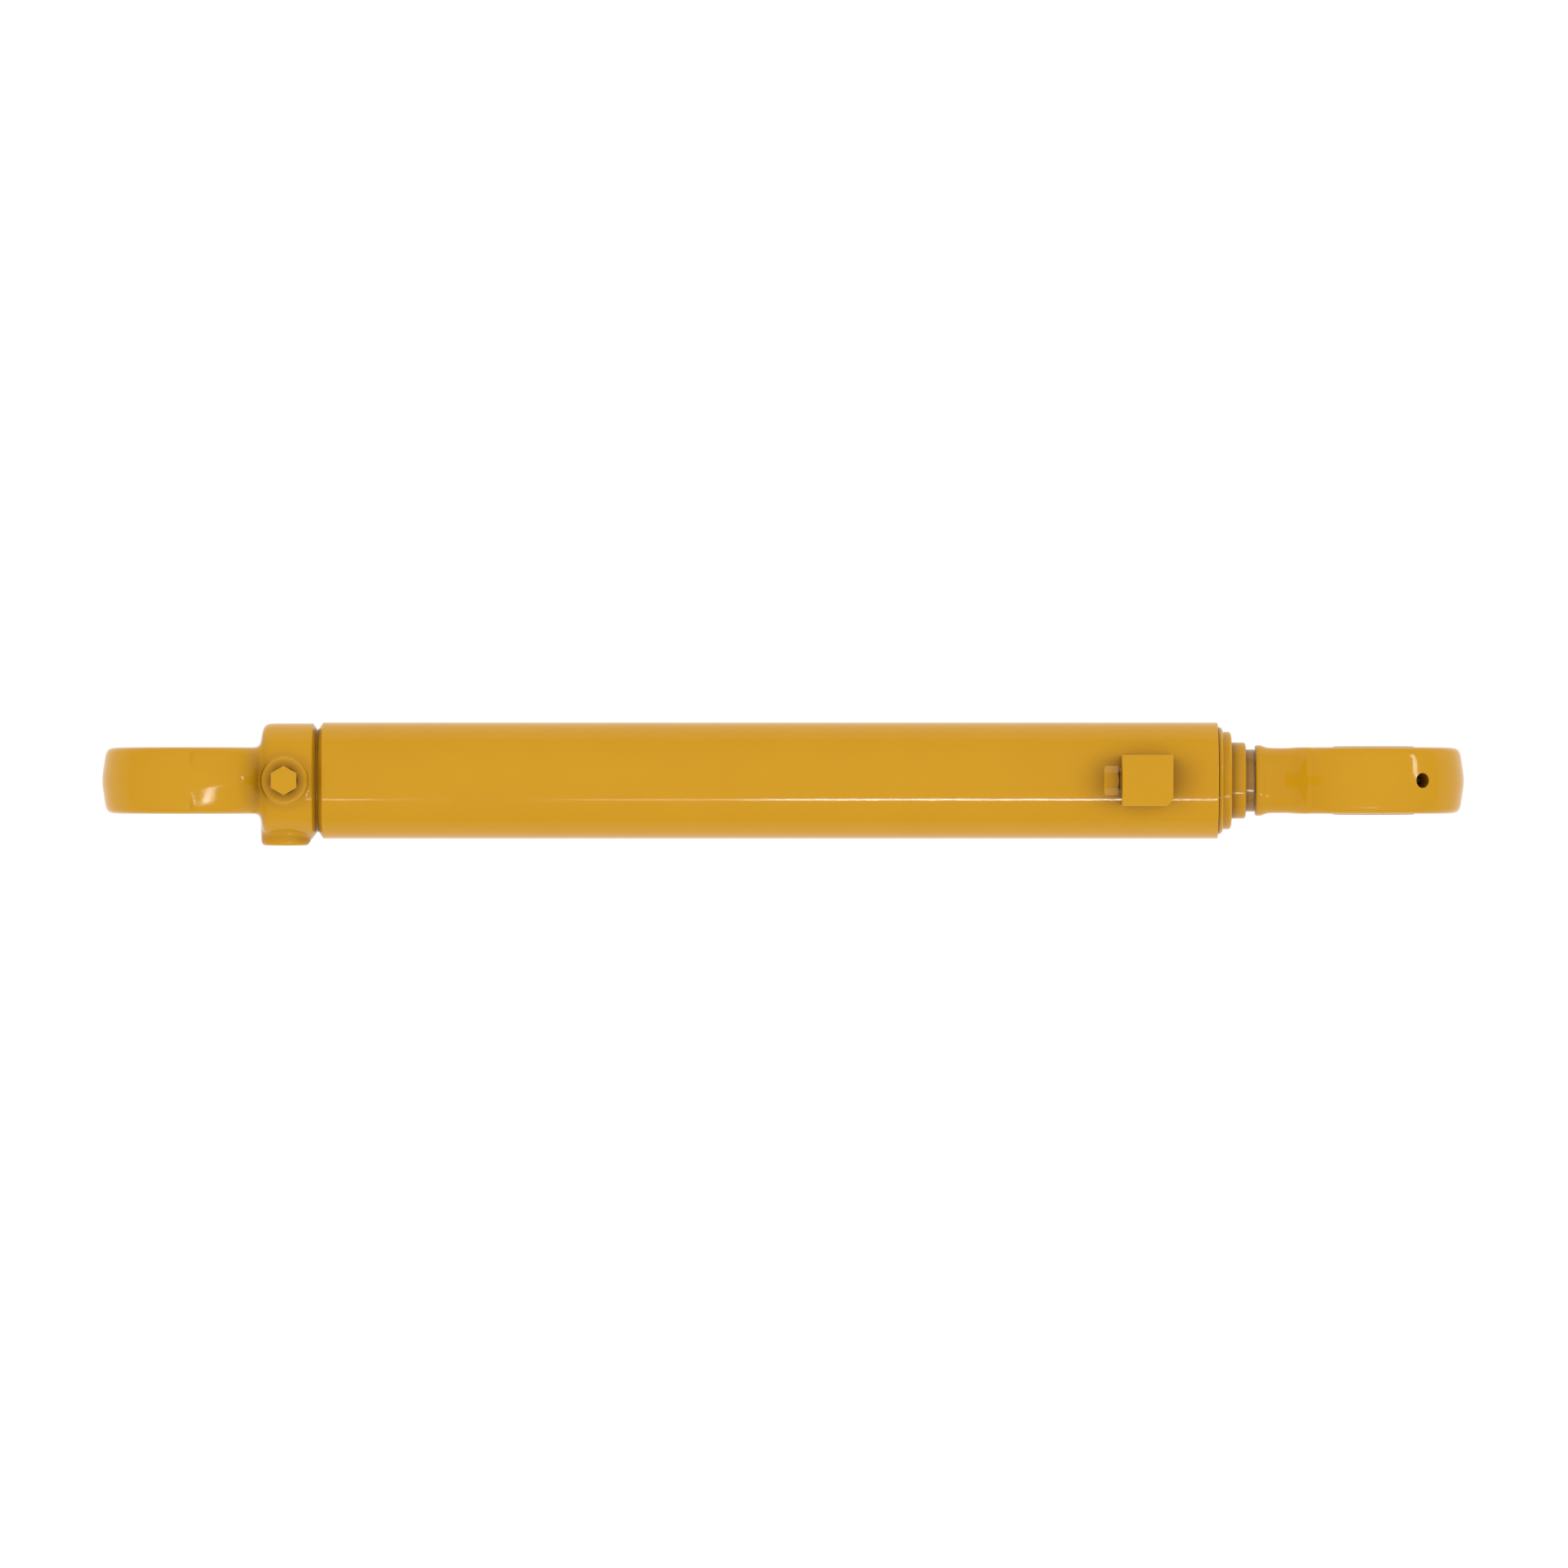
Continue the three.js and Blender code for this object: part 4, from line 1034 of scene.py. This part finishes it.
makePlug("base_port_plug", "z", 1)
makePlug("rod_port_plug", "x", -1)
makePortBlock()
makePistonNut()
makeSetScrew()
makeGreaseFitting()
print("port block, plugs and small parts made")


floorSettings = {"size": 60, "drop": 0.2 * mm, "colour": "#606060", "roughness": 0.9, "glow": 0.95}


def addFloor():
    # pale floor that glows evenly, so that it stays almost white all round the object
    s = floorSettings
    bpy.ops.mesh.primitive_plane_add(size=s["size"], location=(0, 0, -s["drop"]))
    floor = bpy.context.object
    floor.name = "floor"
    material, tree, shader, place = newMaterial("pale_floor")
    shader.inputs["Base Color"].default_value = linear(s["colour"])
    shader.inputs["Roughness"].default_value = s["roughness"]
    shader.inputs["Specular IOR Level"].default_value = 0.0
    shader.inputs["Emission Color"].default_value = (1, 1, 1, 1)
    shader.inputs["Emission Strength"].default_value = s["glow"]
    floor.data.materials.append(material)


def addAreaLight(name, place, aim, width, height, power, spread):
    # seen only as a highlight on glossy pieces
    light = bpy.data.lights.new(name, "AREA")
    light.shape = "RECTANGLE"
    light.size, light.size_y, light.energy = width, height, power
    light.spread = math.radians(spread)
    lamp = bpy.data.objects.new(name, light)
    bpy.context.scene.collection.objects.link(lamp)
    lamp.location = place
    lamp.rotation_euler = (Vector(aim) - Vector(place)).to_track_quat("-Z", "Y").to_euler()
    lamp.visible_diffuse = False


lightSettings = {
    "horizon": 0.62,                # the studio's brightness at the horizon and overhead
    "overhead": 1.08,
    "stripLean": 38,                # degrees from straight up
    "stripReach": 2.0,              # metres from the cylinder's axis
    "stripWidth": 0.06,
    "stripSpread": 70,
    "softboxReach": 1.2,            # from the point on the eye's rim
    # one strip light in four lengths: (from x, to x, power for each square metre)
    "strips": [(-0.8, -0.38, 9), (-0.2, -0.02, 5), (-0.02, 0.33, 32), (0.33, 0.6, 19)],
}

softboxes = {
    # eye: (point on its rim, direction, width, height, power, spread)
    "rod_eye": (
        (rodEyeX + 32 * mm, axisY + 15 * mm, axisZ + 65 * mm), (0.79, 0.25, 0.57), 0.55, 0.12, 4, 180),
    "base_eye": (
        (baseEyeX + 18 * mm, axisY - 12 * mm, axisZ + 66 * mm), (0.4, -0.58, 0.71), 0.85, 0.16, 0.22, 50),
}


def addLight():
    s = lightSettings
    world = bpy.data.worlds.new("studio")
    bpy.context.scene.world = world
    world.use_nodes = True
    tree = world.node_tree
    direction = addNode(tree, "ShaderNodeTexCoord").outputs["Generated"]
    split = addNode(tree, "ShaderNodeSeparateXYZ", links={0: direction})
    sky = addNode(tree, "ShaderNodeMapRange", links={
        "Value": split.outputs["Z"], "From Min": 0.0, "From Max": 0.7,
        "To Min": s["horizon"], "To Max": s["overhead"]})
    background = tree.nodes["Background"]
    background.inputs["Color"].default_value = (1, 1, 1, 1)
    tree.links.new(sky.outputs[0], background.inputs["Strength"])
    bpy.context.scene.view_settings.view_transform = "Standard"
    # the strips draw the thin line along the tube
    lean, width = math.radians(s["stripLean"]), s["stripWidth"]
    stripY = axisY - s["stripReach"] * math.sin(lean)
    stripZ = axisZ + s["stripReach"] * math.cos(lean)
    for fromX, toX, glow in s["strips"]:
        middleX, length = (fromX + toX) / 2, toX - fromX
        place, aim = (middleX, stripY, stripZ), (middleX, axisY, axisZ)
        power = glow * (toX - fromX) * width
        addAreaLight("strip", place, aim, length, width, power, s["stripSpread"])
    # the softboxes give each eye's drafted rim a soft patch
    for eye, (aim, direction, width, height, power, spread) in softboxes.items():
        place = Vector(aim) + s["softboxReach"] * Vector(direction)
        addAreaLight("softbox_" + eye, place, aim, width, height, power, spread)


addFloor()
addLight()
print("room and light ready")
